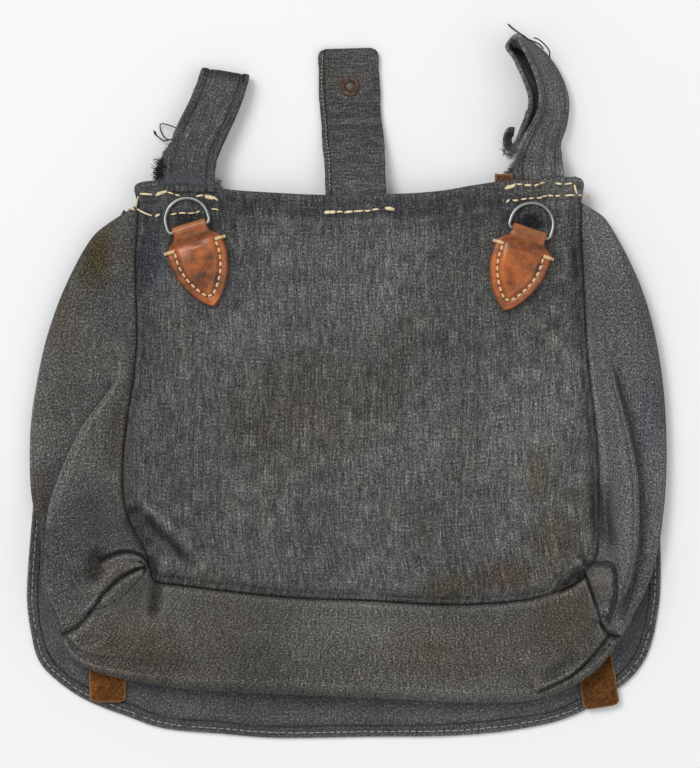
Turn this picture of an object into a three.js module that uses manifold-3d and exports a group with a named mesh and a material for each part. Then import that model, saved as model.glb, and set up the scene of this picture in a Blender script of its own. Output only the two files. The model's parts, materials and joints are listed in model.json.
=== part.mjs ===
// A military canvas haversack lying on its front, seen from the back, as a three.js scene graph.
// Units are millimetres and +Z is up. The bag lies on the plane z = 0 with its flap folded under it,
// its mouth and straps towards +Y and its base towards -Y. The origin is on that plane, under the
// middle of the whole thing.
import * as THREE from "three";
import { mergeVertices } from "three/addons/utils/BufferGeometryUtils.js";
import Module from "manifold-3d";

const wasm = await Module();
wasm.setup();

// Driving sizes of the bag
const bodyWidth = 359; // across the widest stretch of the two side gussets
const bodyLength = 293; // from the top corners to the lowest point of the base
const foldRise = 14; // how far the highest fold stands above the top hem
const mouthRise = 8.8; // floor to the flap's sewn flange, which sets how open the mouth lies
const clothThickness = 1.5;
const seamGap = 0.3; // between any two pieces that touch

// Driving sizes of the flap
const flapHemWidth = 6.8;
const flapHemThickness = 2.4; // the folded and stitched edge
const flangeDepth = 12; // how far the flap is sewn in under the back panel's hem
const hemOverhang = 1.2; // how far the hem's edge covers the flap's turn

// Driving sizes of the cloth straps
const strapThickness = 1.8;
const sewnDepth = 11; // how far each strap is caught under the hem
const tabWidth = 34.5;
const tabReach = 83; // the tab's free length past the hem
const loopWidth = 27.5;
const leftLoopReach = 62; // the left loop's free length past the hem, up to its fold
const rightLoopReach = 86;

// Driving sizes of the leather and the metal
const leatherThickness = 1.8;
const chapeLength = 45.5; // from the ring's bar to the tip
const chapeWidth = 33;
const chapeNeckWidth = 19.5; // where it is folded round the ring's bar
const wireDiameter = 2.2;
const ringWidth = 24.2; // to the middle of the wire
const ringHeight = 17.4; // from the bar to the top of the bow, to the middle of the wire
const ringCorner = 2.6; // bend radius at the ends of the bar
const ringClearance = 0.3; // between the bar and the leather round it
const closingStrapWidth = 20.5;
const closingStrapLength = 62;
const closingStrapThickness = 2;
const backingWidth = 10.5;
const backingDepth = 13.5;
const backingReach = 4.2; // past the hem
const rivetDiameter = 10.6;
const rivetCoreDiameter = 4.8;
const rivetHeadThickness = 0.8;
const rivetPlace = 61.5; // from the hem

// How finely curved pieces are divided
const rowsPerSection = 2;
const wireSides = 10;

// Levels that follow from the sizes
const bodyFloor = flapHemThickness + seamGap;
const strapLevel = bodyFloor;
const frontOverStraps = strapLevel + closingStrapThickness + seamGap;
const hemStep = strapThickness + clothThickness + 2 * seamGap; // strap under the hem to strap over it
const strapBase = mouthRise + clothThickness + seamGap;
const hemUnderside = strapBase + strapThickness + seamGap;
const hemTop = hemUnderside + clothThickness;

// Plan positions are shares: across, -1 to 1 of half the body's width, and down, 0 to 1 of its length.
const planX = (across) => (across * bodyWidth) / 2;
const planY = (down) => -down * bodyLength;

// Where the straps are sewn, to the right of the bag's middle
const tabPlace = planX(0.025);
const leftLoopPlace = planX(-0.493);
const rightLoopPlace = planX(0.599);

// A table's rows as objects with the names of its columns.
function rowsOf(columns, rows) {
  return rows.map((row) => Object.fromEntries(columns.map((name, i) => [name, row[i]])));
}

// The gusset's sections, from the top left corner down the left side to the base's corner seam.
// seamA, seamD: where the section leaves the back panel. rimA, rimD: its outermost point.
// fold: where the upper layer of the fold ends, as a share of the way from seam to rim.
// seam, dip, inner, outer: heights above the top hem, in shares of foldRise, at the seam, just
// outside it, on the fold's upper layer and on the lower layer. rim: share of the hem's height.
const gussetColumns = ["seamA", "seamD", "rimA", "rimD", "fold", "seam", "dip", "inner", "outer", "rim"];
const leftSections = rowsOf(gussetColumns, [
  [-0.658, 0.046, -0.703, 0.062, 0.5, 0.0, -0.02, -0.06, -0.2, 0.5],
  [-0.657, 0.076, -0.755, 0.083, 0.5, 0.02, 0.0, 0.04, -0.12, 0.5],
  [-0.661, 0.107, -0.8, 0.107, 0.5, 0.04, 0.02, 0.12, 0.0, 0.5],
  [-0.665, 0.155, -0.848, 0.154, 0.5, 0.05, 0.05, 0.2, 0.06, 0.5],
  [-0.663, 0.228, -0.903, 0.226, 0.4, 0.07, 0.07, 0.24, 0.12, 0.48],
  [-0.661, 0.305, -0.947, 0.305, 0.3, 0.1, 0.1, 0.28, 0.16, 0.46],
  [-0.671, 0.382, -0.976, 0.386, 0.22, 0.12, 0.14, 0.38, 0.06, 0.44],
  [-0.693, 0.468, -0.995, 0.468, 0.445, 0.15, 0.18, 0.5, -0.08, 0.4],
  [-0.705, 0.555, -0.998, 0.555, 0.65, 0.18, 0.22, 0.6, -0.16, 0.38],
  [-0.701, 0.612, -0.989, 0.618, 0.79, 0.22, 0.28, 0.68, -0.16, 0.4],
  [-0.68, 0.656, -0.964, 0.681, 0.86, 0.28, 0.36, 0.74, 0.0, 0.46],
  [-0.64, 0.701, -0.959, 0.775, 0.88, 0.4, 0.48, 0.82, 0.16, 0.52],
  [-0.621, 0.739, -0.903, 0.873, 0.88, 0.55, 0.62, 0.86, 0.22, 0.56],
]);

// Along the base, from the left corner seam to the right one. The end sections are the side gussets'.
const baseRows = rowsOf(gussetColumns, [
  [-0.602, 0.768, -0.853, 0.921, 0.84, 0.34, 0.44, 0.8, 0.22, 0.56],
  [-0.533, 0.775, -0.737, 0.952, 0.74, 0.2, 0.32, 0.74, 0.3, 0.56],
  [-0.345, 0.789, -0.502, 0.975, 0.64, 0.15, 0.26, 0.66, 0.34, 0.56],
  [-0.157, 0.8, -0.219, 0.985, 0.6, 0.14, 0.24, 0.62, 0.34, 0.56],
  [0.063, 0.805, 0.063, 0.992, 0.6, 0.14, 0.24, 0.62, 0.34, 0.56],
  [0.313, 0.813, 0.345, 1.0, 0.6, 0.14, 0.24, 0.64, 0.34, 0.56],
  [0.533, 0.805, 0.564, 0.997, 0.64, 0.17, 0.28, 0.7, 0.32, 0.56],
  [0.652, 0.787, 0.705, 0.969, 0.7, 0.28, 0.38, 0.8, 0.24, 0.56],
  [0.712, 0.77, 0.793, 0.929, 0.74, 0.42, 0.5, 0.9, 0.12, 0.52],
  [0.74, 0.75, 0.859, 0.875, 0.72, 0.56, 0.64, 0.98, 0.02, 0.48],
]);
const baseSections = [leftSections[leftSections.length - 1], ...baseRows];

// Down the right side, from the top corner to the base's corner seam.
const rightRows = rowsOf(gussetColumns, [
  [0.73, 0.042, 0.768, 0.055, 0.5, 0, -0.02, -0.06, -0.2, 0.5],
  [0.73, 0.07, 0.802, 0.07, 0.5, 0.02, 0.0, 0.06, -0.12, 0.5],
  [0.73, 0.098, 0.834, 0.098, 0.5, 0.04, 0.02, 0.16, 0.0, 0.5],
  [0.735, 0.155, 0.884, 0.155, 0.5, 0.05, 0.04, 0.26, 0.08, 0.5],
  [0.74, 0.228, 0.933, 0.228, 0.42, 0.07, 0.05, 0.36, 0.14, 0.48],
  [0.746, 0.305, 0.967, 0.309, 0.34, 0.1, 0.06, 0.48, 0.12, 0.46],
  [0.759, 0.392, 0.989, 0.397, 0.37, 0.12, 0.06, 0.6, 0.08, 0.44],
  [0.774, 0.468, 0.998, 0.482, 0.46, 0.14, 0.06, 0.7, 0.04, 0.44],
  [0.784, 0.551, 0.998, 0.566, 0.56, 0.16, 0.08, 0.78, 0.0, 0.42],
  [0.786, 0.622, 0.989, 0.635, 0.61, 0.18, 0.1, 0.82, -0.02, 0.42],
  [0.785, 0.685, 0.972, 0.708, 0.64, 0.22, 0.18, 0.88, -0.04, 0.42],
  [0.774, 0.724, 0.937, 0.781, 0.67, 0.36, 0.4, 0.92, -0.02, 0.44],
]);
const rightSections = [...rightRows, baseSections[baseSections.length - 1]];

// The top edge of the back panel, left to right.
const topEdge = [
  { across: -0.675, down: 0.002 },
  { across: -0.54, down: -0.002 },
  { across: -0.4, down: 0.015 },
  { across: -0.26, down: 0.022 },
  { across: -0.08, down: 0.027 },
  { across: 0.12, down: 0.026 },
  { across: 0.28, down: 0.02 },
  { across: 0.4, down: 0.008 },
  { across: 0.5, down: 0.0 },
  { across: 0.62, down: -0.004 },
  { across: 0.742, down: -0.008 },
];

// The flap's outline, clockwise from its top left corner.
const flapOutline = [
  { across: -0.66, down: 0.04 },
  { across: -0.745, down: 0.11 },
  { across: -0.86, down: 0.228 },
  { across: -0.935, down: 0.345 },
  { across: -0.972, down: 0.468 },
  { across: -0.985, down: 0.58 },
  { across: -0.995, down: 0.66 },
  { across: -1.006, down: 0.745 },
  { across: -1.009, down: 0.81 },
  { across: -0.995, down: 0.873 },
  { across: -0.975, down: 0.918 },
  { across: -0.93, down: 0.953 },
  { across: -0.83, down: 0.996 },
  { across: -0.7, down: 1.028 },
  { across: -0.575, down: 1.053 },
  { across: -0.4, down: 1.063 },
  { across: -0.22, down: 1.071 },
  { across: 0.06, down: 1.069 },
  { across: 0.33, down: 1.067 },
  { across: 0.54, down: 1.054 },
  { across: 0.7, down: 1.03 },
  { across: 0.84, down: 0.98 },
  { across: 0.915, down: 0.937 },
  { across: 0.955, down: 0.885 },
  { across: 0.978, down: 0.81 },
  { across: 0.983, down: 0.74 },
  { across: 0.98, down: 0.66 },
  { across: 0.972, down: 0.56 },
  { across: 0.965, down: 0.46 },
  { across: 0.94, down: 0.35 },
  { across: 0.885, down: 0.228 },
  { across: 0.8, down: 0.11 },
  { across: 0.72, down: 0.04 },
];

// Straps are tables of sections. along: from the hem, as a share of the reach. sway: to the right, as a
// share of the width. lift: 0 lying on the floor to 1 caught under the hem. heading: degrees that the
// width is turned in plan. tilt: degrees that its right edge is raised. gap: to the layer that comes
// back over or under it past the fold, in hem steps, or 0 where none does.
const tabSections = [
  { along: 0, sway: 0, lift: 1, heading: 2, tilt: 0, gap: 0 },
  { along: 0.08, sway: -0.01, lift: 0.96, heading: 2, tilt: 0, gap: 0 },
  { along: 0.22, sway: -0.02, lift: 0.62, heading: 2, tilt: 0, gap: 0 },
  { along: 0.38, sway: -0.05, lift: 0.2, heading: 2, tilt: 0, gap: 0 },
  { along: 0.52, sway: -0.08, lift: 0.03, heading: 2, tilt: 0, gap: 0 },
  { along: 0.64, sway: -0.1, lift: 0, heading: 1, tilt: 0, gap: 0 },
  { along: 0.86, sway: -0.12, lift: 0, heading: 0, tilt: 0, gap: 0 },
  { along: 1, sway: -0.13, lift: 0.02, heading: 0, tilt: 0, gap: 0 },
];

const leftLoopSections = [
  { along: -0.09, sway: 0, lift: 1, heading: 0, tilt: 0, gap: 1 },
  { along: 0.04, sway: 0, lift: 0.99, heading: -2, tilt: 0, gap: 1 },
  { along: 0.22, sway: 0.03, lift: 0.72, heading: -10, tilt: 0, gap: 1.3 },
  { along: 0.42, sway: 0.19, lift: 0.28, heading: -16, tilt: 0, gap: 1.95 },
  { along: 0.62, sway: 0.4, lift: 0.1, heading: -18, tilt: 0, gap: 2.15 },
  { along: 0.8, sway: 0.57, lift: 0.04, heading: -15, tilt: 0, gap: 2.1 },
  { along: 0.94, sway: 0.67, lift: 0.04, heading: -9, tilt: 0, gap: 1.9 },
];

const rightLoopSections = [
  { along: 0, sway: 0, lift: 1, heading: 0, tilt: 0, gap: 0 },
  { along: 0.12, sway: -0.02, lift: 0.95, heading: 0, tilt: -14, gap: 0 },
  { along: 0.2, sway: 0.02, lift: 0.8, heading: -8, tilt: -32, gap: 1.2 },
  { along: 0.28, sway: 0.1, lift: 0.62, heading: -14, tilt: -44, gap: 1.5 },
  { along: 0.385, sway: 0.24, lift: 0.52, heading: -10, tilt: -50, gap: 1.7 },
  { along: 0.5, sway: 0.29, lift: 0.48, heading: 6, tilt: -52, gap: 1.8 },
  { along: 0.62, sway: 0.22, lift: 0.46, heading: 20, tilt: -56, gap: 1.9 },
  { along: 0.74, sway: 0.05, lift: 0.38, heading: 34, tilt: -62, gap: 2 },
  { along: 0.84, sway: -0.16, lift: 0.28, heading: 46, tilt: -70, gap: 2.1 },
  { along: 0.91, sway: -0.36, lift: 0.16, heading: 58, tilt: -80, gap: 2.2 },
];

// The leaf-shaped leather chape, from the ring's bar to its tip. half: share of half its width.
// puff: how much its middle stands above its edge, as a share of its two layers.
const chapeSections = [
  { along: 0.02, half: 0.58, puff: 0 },
  { along: 0.08, half: 0.68, puff: 0.02 },
  { along: 0.15, half: 0.93, puff: 0.1 },
  { along: 0.3, half: 1, puff: 0.3 },
  { along: 0.45, half: 0.98, puff: 0.4 },
  { along: 0.6, half: 0.87, puff: 0.36 },
  { along: 0.75, half: 0.66, puff: 0.24 },
  { along: 0.88, half: 0.41, puff: 0.12 },
  { along: 0.96, half: 0.22, puff: 0.04 },
  { along: 1, half: 0.09, puff: 0 },
];

// Where the chapes and the closing straps lie: the middle of each chape's bar, the middle of each
// strap's end past the base, and how far each is turned in degrees.
const fittings = [
  { side: "left", chapeA: -0.495, chapeD: 0.092, chapeTurn: 17, strapA: -0.755, strapD: 1.002, strapTurn: 0 },
  { side: "right", chapeA: 0.565, chapeD: 0.101, chapeTurn: -18, strapA: 0.797, strapD: 1.012, strapTurn: 9 },
];

const upward = new THREE.Vector3(0, 0, 1);
const fabric = new THREE.MeshStandardMaterial({ color: 0x555556, roughness: 0.92, metalness: 0 });
const chapeLeather = new THREE.MeshStandardMaterial({ color: 0x97552f, roughness: 0.4, metalness: 0 });
const strapLeather = new THREE.MeshStandardMaterial({ color: 0x5a391d, roughness: 0.9, metalness: 0 });
const steel = new THREE.MeshStandardMaterial({ color: 0x9a9b9c, roughness: 0.35, metalness: 1 });

const lerp = THREE.MathUtils.lerp;

// One value of a smooth curve through four evenly spaced ones, between the middle two.
function between(before, from, to, after, t) {
  const slopeFrom = (to - before) / 2;
  const slopeTo = (after - from) / 2;
  const t2 = t * t;
  const t3 = t2 * t;
  const ends = (2 * t3 - 3 * t2 + 1) * from + (3 * t2 - 2 * t3) * to;
  return ends + (t3 - 2 * t2 + t) * slopeFrom + (t3 - t2) * slopeTo;
}

// A table with extra rows put smoothly between its own.
function refined(table, perRow) {
  const last = table.length - 1;
  const rows = [];
  for (let i = 0; i < last; i++) {
    const before = table[Math.max(i - 1, 0)];
    const after = table[Math.min(i + 2, last)];
    const [from, to] = [table[i], table[i + 1]];
    for (let k = 0; k < perRow; k++) {
      const row = {};
      for (const key of Object.keys(from)) {
        row[key] = between(before[key], from[key], to[key], after[key], k / perRow);
      }
      rows.push(row);
    }
  }
  rows.push({ ...table[last] });
  return rows;
}

// A closed, outward-facing geometry from vertices and triangles, whichever way the triangles turn.
function closedGeometry(vertices, triangles) {
  let volume = 0;
  for (const [a, b, c] of triangles) {
    volume += vertices[a].dot(new THREE.Vector3().crossVectors(vertices[b], vertices[c]));
  }
  const turned = volume < 0 ? triangles.map(([a, b, c]) => [a, c, b]) : triangles;
  const geometry = new THREE.BufferGeometry();
  const positions = vertices.flatMap((v) => [v.x, v.y, v.z]);
  geometry.setAttribute("position", new THREE.Float32BufferAttribute(positions, 3));
  geometry.setIndex(turned.flat());
  return geometry;
}

// A slab between two grids of points that have the same rows and columns.
function slab(faceA, faceB) {
  const rows = faceA.length;
  const columns = faceA[0].length;
  const vertices = [...faceA.flat(), ...faceB.flat()];
  const a = (i, j) => i * columns + j;
  const b = (i, j) => rows * columns + a(i, j);
  const triangles = [];
  const quad = (p, q, r, s) => triangles.push([p, q, r], [p, r, s]);
  for (let i = 0; i < rows - 1; i++) {
    for (let j = 0; j < columns - 1; j++) {
      quad(a(i, j), a(i + 1, j), a(i + 1, j + 1), a(i, j + 1));
      quad(b(i, j), b(i, j + 1), b(i + 1, j + 1), b(i + 1, j));
    }
    quad(a(i, 0), b(i, 0), b(i + 1, 0), a(i + 1, 0));
    quad(a(i, columns - 1), a(i + 1, columns - 1), b(i + 1, columns - 1), b(i, columns - 1));
  }
  for (let j = 0; j < columns - 1; j++) {
    quad(a(0, j), a(0, j + 1), b(0, j + 1), b(0, j));
    quad(a(rows - 1, j), b(rows - 1, j), b(rows - 1, j + 1), a(rows - 1, j + 1));
  }
  return closedGeometry(vertices, triangles);
}

// A strip of cloth or leather of one width and thickness, along sections of a centre and a width direction.
function ribbon(sections, width, thickness) {
  const vertices = [];
  sections.forEach(({ centre, across }, i) => {
    const ahead = sections[Math.min(i + 1, sections.length - 1)].centre;
    const behind = sections[Math.max(i - 1, 0)].centre;
    const along = new THREE.Vector3().subVectors(ahead, behind).normalize();
    const side = across.clone().addScaledVector(along, -across.dot(along)).normalize();
    const face = new THREE.Vector3().crossVectors(along, side);
    const corners = [[-1, -1], [1, -1], [1, 1], [-1, 1]];
    for (const [w, t] of corners) {
      const edge = centre.clone().addScaledVector(side, (w * width) / 2);
      vertices.push(edge.addScaledVector(face, (t * thickness) / 2));
    }
  });
  return ringsToGeometry(vertices, 4, sections.length, false);
}

// Rings of vertices joined into a tube, closed on itself or capped at both ends.
function ringsToGeometry(vertices, sides, rings, joined) {
  const triangles = [];
  const at = (i, k) => (i % rings) * sides + (k % sides);
  for (let i = 0; i < (joined ? rings : rings - 1); i++) {
    for (let k = 0; k < sides; k++) {
      triangles.push([at(i, k), at(i, k + 1), at(i + 1, k + 1)]);
      triangles.push([at(i, k), at(i + 1, k + 1), at(i + 1, k)]);
    }
  }
  if (!joined) {
    for (let k = 1; k < sides - 1; k++) {
      triangles.push([at(0, 0), at(0, k + 1), at(0, k)]);
      triangles.push([at(rings - 1, 0), at(rings - 1, k), at(rings - 1, k + 1)]);
    }
  }
  return closedGeometry(vertices, triangles);
}

// A three.js geometry as a solid that can be joined and cut, and back.
function solidOf(geometry) {
  const bare = new THREE.BufferGeometry();
  bare.setAttribute("position", geometry.getAttribute("position"));
  if (geometry.index) bare.setIndex(geometry.index);
  const merged = mergeVertices(bare, 1e-4);
  return new wasm.Manifold(
    new wasm.Mesh({
      numProp: 3,
      vertProperties: merged.attributes.position.array,
      triVerts: new Uint32Array(merged.index.array),
    }),
  );
}

function geometryOf(solid) {
  const mesh = solid.getMesh();
  const geometry = new THREE.BufferGeometry();
  geometry.setAttribute("position", new THREE.Float32BufferAttribute(mesh.vertProperties, 3));
  geometry.setIndex([...mesh.triVerts]);
  return geometry;
}

function flatPlate(outline, thickness, level = 0) {
  const shape = new THREE.Shape(outline);
  const geometry = new THREE.ExtrudeGeometry(shape, { depth: thickness, bevelEnabled: false });
  geometry.translate(0, 0, level);
  return geometry;
}

function named(name, geometry, material) {
  const mesh = new THREE.Mesh(geometry, material);
  mesh.name = name;
  return mesh;
}

// The height of the front panel's outer face, which rises where the closing straps pass under it.
function frontLevel(down) {
  return lerp(bodyFloor, frontOverStraps, THREE.MathUtils.smoothstep(down, 0.45, 0.72));
}

// One section of the gusset as points in the upright plane through its seam and its rim, with the inner
// face beside each point. The seam ends are offset straight up or down, so that neighbouring panels' ends
// stay parallel.
function gussetSection(row) {
  const seam = new THREE.Vector2(planX(row.seamA), planY(row.seamD));
  const rim = new THREE.Vector2(planX(row.rimA), planY(row.rimD));
  const reach = seam.distanceTo(rim);
  const out = rim.clone().sub(seam).normalize();
  const high = (share) => hemTop + share * foldRise;
  const under = frontLevel(row.rimD);
  const rimHeight = lerp(under, hemTop, row.rim);
  const lip = row.fold * reach;
  const rest = reach - lip;
  const step = row.inner - row.outer;
  const profile = [
    [0, high(row.seam)],
    [0.2 * lip, high(row.dip)],
    [0.5 * lip, high(lerp(row.dip, row.inner, 0.8))],
    [0.8 * lip, high(row.inner)],
    [lip, high(row.inner - 0.25 * step)],
    [lip + 0.1 * rest, high(row.outer + 0.1 * step)],
    [lip + 0.4 * rest, high(row.outer)],
    [lip + 0.78 * rest, lerp(high(row.outer), rimHeight, 0.35)],
    [reach, rimHeight],
    [lip + 0.8 * rest, lerp(under, rimHeight, 0.3)],
    [lip + 0.5 * rest, under],
    [lip + 0.2 * rest, under],
  ];
  const last = profile.length - 1;
  const inner = profile.map(([s, z], i) => {
    if (i === 0) return [s, z - clothThickness];
    if (i === last) return [s, z + clothThickness];
    const [sA, zA] = profile[i - 1];
    const [sB, zB] = profile[i + 1];
    const length = Math.hypot(sB - sA, zB - zA);
    return [s + ((zB - zA) / length) * clothThickness, z - ((sB - sA) / length) * clothThickness];
  });
  const place = ([s, z]) => new THREE.Vector3(seam.x + out.x * s, seam.y + out.y * s, z);
  return { outer: profile.map(place), inner: inner.map(place) };
}

// Moves the first and last row or column of a grid a little inwards, by half a seam's gap or more.
function trimmed(face, { firstRow, lastRow, firstColumn, lastColumn }, inset = seamGap / 2) {
  const pull = (edge, towards) => {
    const step = new THREE.Vector3().subVectors(towards, edge).setZ(0).setLength(inset);
    return edge.clone().add(step);
  };
  const grid = face.map((row) => row.map((point) => point.clone()));
  const rows = grid.length - 1;
  const columns = grid[0].length - 1;
  if (firstRow) grid[0] = face[0].map((p, j) => pull(p, face[1][j]));
  if (lastRow) grid[rows] = face[rows].map((p, j) => pull(p, face[rows - 1][j]));
  for (const row of grid) {
    if (firstColumn) row[0] = pull(row[0], row[1]);
    if (lastColumn) row[columns] = pull(row[columns], row[columns - 1]);
  }
  return grid;
}

// A surface through four boundary lines: left and right run down, top and bottom run across.
function coonsGrid(left, right, top, bottom) {
  const rows = left.length - 1;
  const columns = top.length - 1;
  return left.map((_, i) =>
    top.map((__, j) => {
      const v = i / rows;
      const u = j / columns;
      const across = left[i].clone().lerp(right[i], u);
      const down = top[j].clone().lerp(bottom[j], v);
      const upper = top[0].clone().lerp(top[columns], u);
      const lower = bottom[0].clone().lerp(bottom[columns], u);
      const corners = upper.lerp(lower, v);
      return across.add(down).sub(corners);
    }),
  );
}

// The same grid with the heights of its sides and its bottom fading quickly to one level in the middle.
function flattened(grid, level) {
  const rows = grid.length - 1;
  const columns = grid[0].length - 1;
  const rise = (i, j) => grid[i][j].z - level;
  return grid.map((row, i) =>
    row.map((point, j) => {
      const leftShare = (1 - j / columns) ** 5;
      const rightShare = (j / columns) ** 5;
      const baseShare = (i / rows) ** 5;
      const sides = leftShare * rise(i, 0) + rightShare * rise(i, columns);
      const corners = leftShare * rise(rows, 0) + rightShare * rise(rows, columns);
      return point.clone().setZ(level + sides + baseShare * (rise(rows, j) - corners));
    }),
  );
}

const shifted = (grid, height) => grid.map((row) => row.map((p) => p.clone().setZ(p.z + height)));

const left = refined(leftSections, rowsPerSection).map(gussetSection);
const right = refined(rightSections, rowsPerSection).map(gussetSection);
const base = refined(baseSections, rowsPerSection).map(gussetSection);
const topLine = refined(topEdge, rowsPerSection);
const seamPoint = (section) => section.outer[0];
const frontPoint = (section) => section.outer[section.outer.length - 1];

const bag = new THREE.Group();

// Gussets: two sides and a base, which meet at the corner seams
function gussetPanel(name, sections, ends) {
  const edges = { ...ends, firstColumn: true, lastColumn: true };
  const outer = trimmed(sections.map((s) => s.outer), edges);
  const inner = trimmed(sections.map((s) => s.inner), edges);
  return named(name, slab(outer, inner), fabric);
}
bag.add(gussetPanel("left_gusset", left, { lastRow: true }));
bag.add(gussetPanel("right_gusset", right, { lastRow: true }));
bag.add(gussetPanel("base_gusset", base, { firstRow: true, lastRow: true }));

// Back panel: from its hemmed top edge to the seams round it
const backTop = topLine.map(({ across, down }) => new THREE.Vector3(planX(across), planY(down), hemTop));
const withCorner = (corner, seams) => [corner, corner.clone().lerp(seams[0], 0.5), ...seams];
const backLeft = withCorner(backTop[0], left.map(seamPoint));
const backRight = withCorner(backTop[backTop.length - 1], right.map(seamPoint));
const backGrid = flattened(coonsGrid(backLeft, backRight, backTop, base.map(seamPoint)), hemTop);
const backFace = trimmed(backGrid, { lastRow: true, firstColumn: true, lastColumn: true });
const backPanel = named("back_panel", slab(backFace, shifted(backFace, -clothThickness)), fabric);
bag.add(backPanel);

// Front panel: under the back panel, from the mouth to the seams round it, in sections twice as long
const frontInset = 2.6 * seamGap;
const ownSections = (rows) => rows.filter((_, i) => i % rowsPerSection === 0);
const frontLeft = ownSections(left).map(frontPoint);
const frontRight = ownSections(right).map(frontPoint);
const frontBase = ownSections(base).map(frontPoint);
const frontSteps = frontBase.length - 1;
const frontTop = frontBase.map((_, j) => frontLeft[0].clone().lerp(frontRight[0], j / frontSteps));
const frontGrid = coonsGrid(frontLeft, frontRight, frontTop, frontBase);
const frontFace = trimmed(frontGrid, { lastRow: true, firstColumn: true, lastColumn: true }, frontInset);
bag.add(named("front_panel", slab(frontFace, shifted(frontFace, clothThickness)), fabric));

// The height of the back panel's face over a place in plan.
const downward = new THREE.Raycaster();
bag.updateMatrixWorld(true);
function panelHeight(x, y) {
  downward.set(new THREE.Vector3(x, y, 10 * hemTop), upward.clone().negate());
  const hit = downward.intersectObject(backPanel)[0];
  return hit ? hit.point.z : hemTop;
}

// Flap: flat under the bag, turned up round the mouth, and sewn in under the back panel's hem
const turnRadius = (mouthRise + clothThickness) / 2 - clothThickness / 2;
const inPlan = ({ across, down }) => new THREE.Vector2(planX(across), planY(down));
const outline = refined(flapOutline, 2).map(inPlan);
function insetLine(points, distance) {
  return points.map((p, i) => {
    const ahead = points[Math.min(i + 1, points.length - 1)];
    const behind = points[Math.max(i - 1, 0)];
    const run = ahead.clone().sub(behind).normalize();
    return new THREE.Vector2(p.x - run.y * distance, p.y + run.x * distance);
  });
}
const hemInner = insetLine(outline, flapHemWidth);
const flapEdge = insetLine(outline, flapHemWidth + seamGap);
bag.add(named("flap_hem", flatPlate([...outline, ...hemInner.reverse()], flapHemThickness), fabric));

const turnStart = clothThickness / 2 + turnRadius + hemOverhang;
const turnLine = topLine.map(inPlan);
const flapTop = turnLine.map((p) => new THREE.Vector2(p.x * 0.985, p.y - turnStart));
const turnSteps = 6;
function flapTurn(offset) {
  return flapTop.map((p) => {
    const radius = turnRadius + offset;
    const middle = clothThickness / 2 + turnRadius;
    const run = [[-2, middle - radius]];
    for (let k = 0; k <= turnSteps; k++) {
      const angle = (k / turnSteps) * Math.PI;
      run.push([Math.sin(angle) * radius, middle - Math.cos(angle) * radius]);
    }
    run.push([-flangeDepth, middle + radius]);
    return run.map(([y, z]) => new THREE.Vector3(p.x, p.y + y, z));
  });
}
const turnSolid = solidOf(slab(flapTurn(clothThickness / 2), flapTurn(-clothThickness / 2)));
const plateTop = flapTop.map((p) => new THREE.Vector2(p.x, p.y - 0.5));
const flapPlate = solidOf(flatPlate([...plateTop, ...flapEdge.reverse()], clothThickness));
bag.add(named("flap", geometryOf(flapPlate.add(turnSolid)), fabric));

// Cloth straps: the centre tab and the two belt loops, caught between the back panel's hem and the flap
function hemLineAt(x) {
  const next = Math.max(1, turnLine.findIndex((p) => p.x > x));
  const [from, to] = [turnLine[next - 1], turnLine[next]];
  return lerp(from.y, to.y, (x - from.x) / (to.x - from.x));
}

function strapSections(table, place, reach, width, floor) {
  const anchor = new THREE.Vector2(place, hemLineAt(place));
  return refined(table, 3).map((row) => {
    const heading = THREE.MathUtils.degToRad(row.heading);
    const tilt = THREE.MathUtils.degToRad(row.tilt);
    const flat = Math.cos(tilt);
    const across = new THREE.Vector3(Math.cos(heading) * flat, Math.sin(heading) * flat, Math.sin(tilt));
    const edgeDrop = (Math.abs(Math.sin(tilt)) * width + flat * strapThickness) / 2;
    const z = floor + edgeDrop + row.lift * (strapBase - floor);
    const centre = new THREE.Vector3(anchor.x + row.sway * width, anchor.y + row.along * reach, z);
    return { centre, across, gap: row.gap };
  });
}

// The hidden end under the hem, ahead of the first section.
function withSewnEnd(sections) {
  const first = sections[0];
  const end = first.centre.clone();
  end.y = hemLineAt(end.x) - sewnDepth;
  return [{ centre: end, across: first.across, gap: 0 }, ...sections];
}

// The fold at a strap's end and the layer that comes back. side: 1 over the first layer, -1 under it.
function withReturn(sections, side) {
  const layers = sections.map(({ centre, across, gap }, i) => {
    const ahead = sections[Math.min(i + 1, sections.length - 1)].centre;
    const behind = sections[Math.max(i - 1, 0)].centre;
    const along = new THREE.Vector3().subVectors(ahead, behind).normalize();
    const face = new THREE.Vector3().crossVectors(across, along).normalize().multiplyScalar(side);
    return { centre, across, along, face, gap: gap * hemStep };
  });
  const last = layers[layers.length - 1];
  const fold = [];
  const steps = 6;
  for (let k = 1; k < steps; k++) {
    const angle = (k / steps) * Math.PI;
    const centre = last.centre
      .clone()
      .addScaledVector(last.along, (Math.sin(angle) * last.gap) / 2)
      .addScaledVector(last.face, ((1 - Math.cos(angle)) * last.gap) / 2);
    fold.push({ centre, across: last.across });
  }
  const returning = layers
    .filter(({ gap }) => gap >= hemStep)
    .map(({ centre, across, face, gap }) => ({ centre: centre.clone().addScaledVector(face, gap), across }));
  return [...sections, ...fold, ...returning.reverse()];
}

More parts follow.
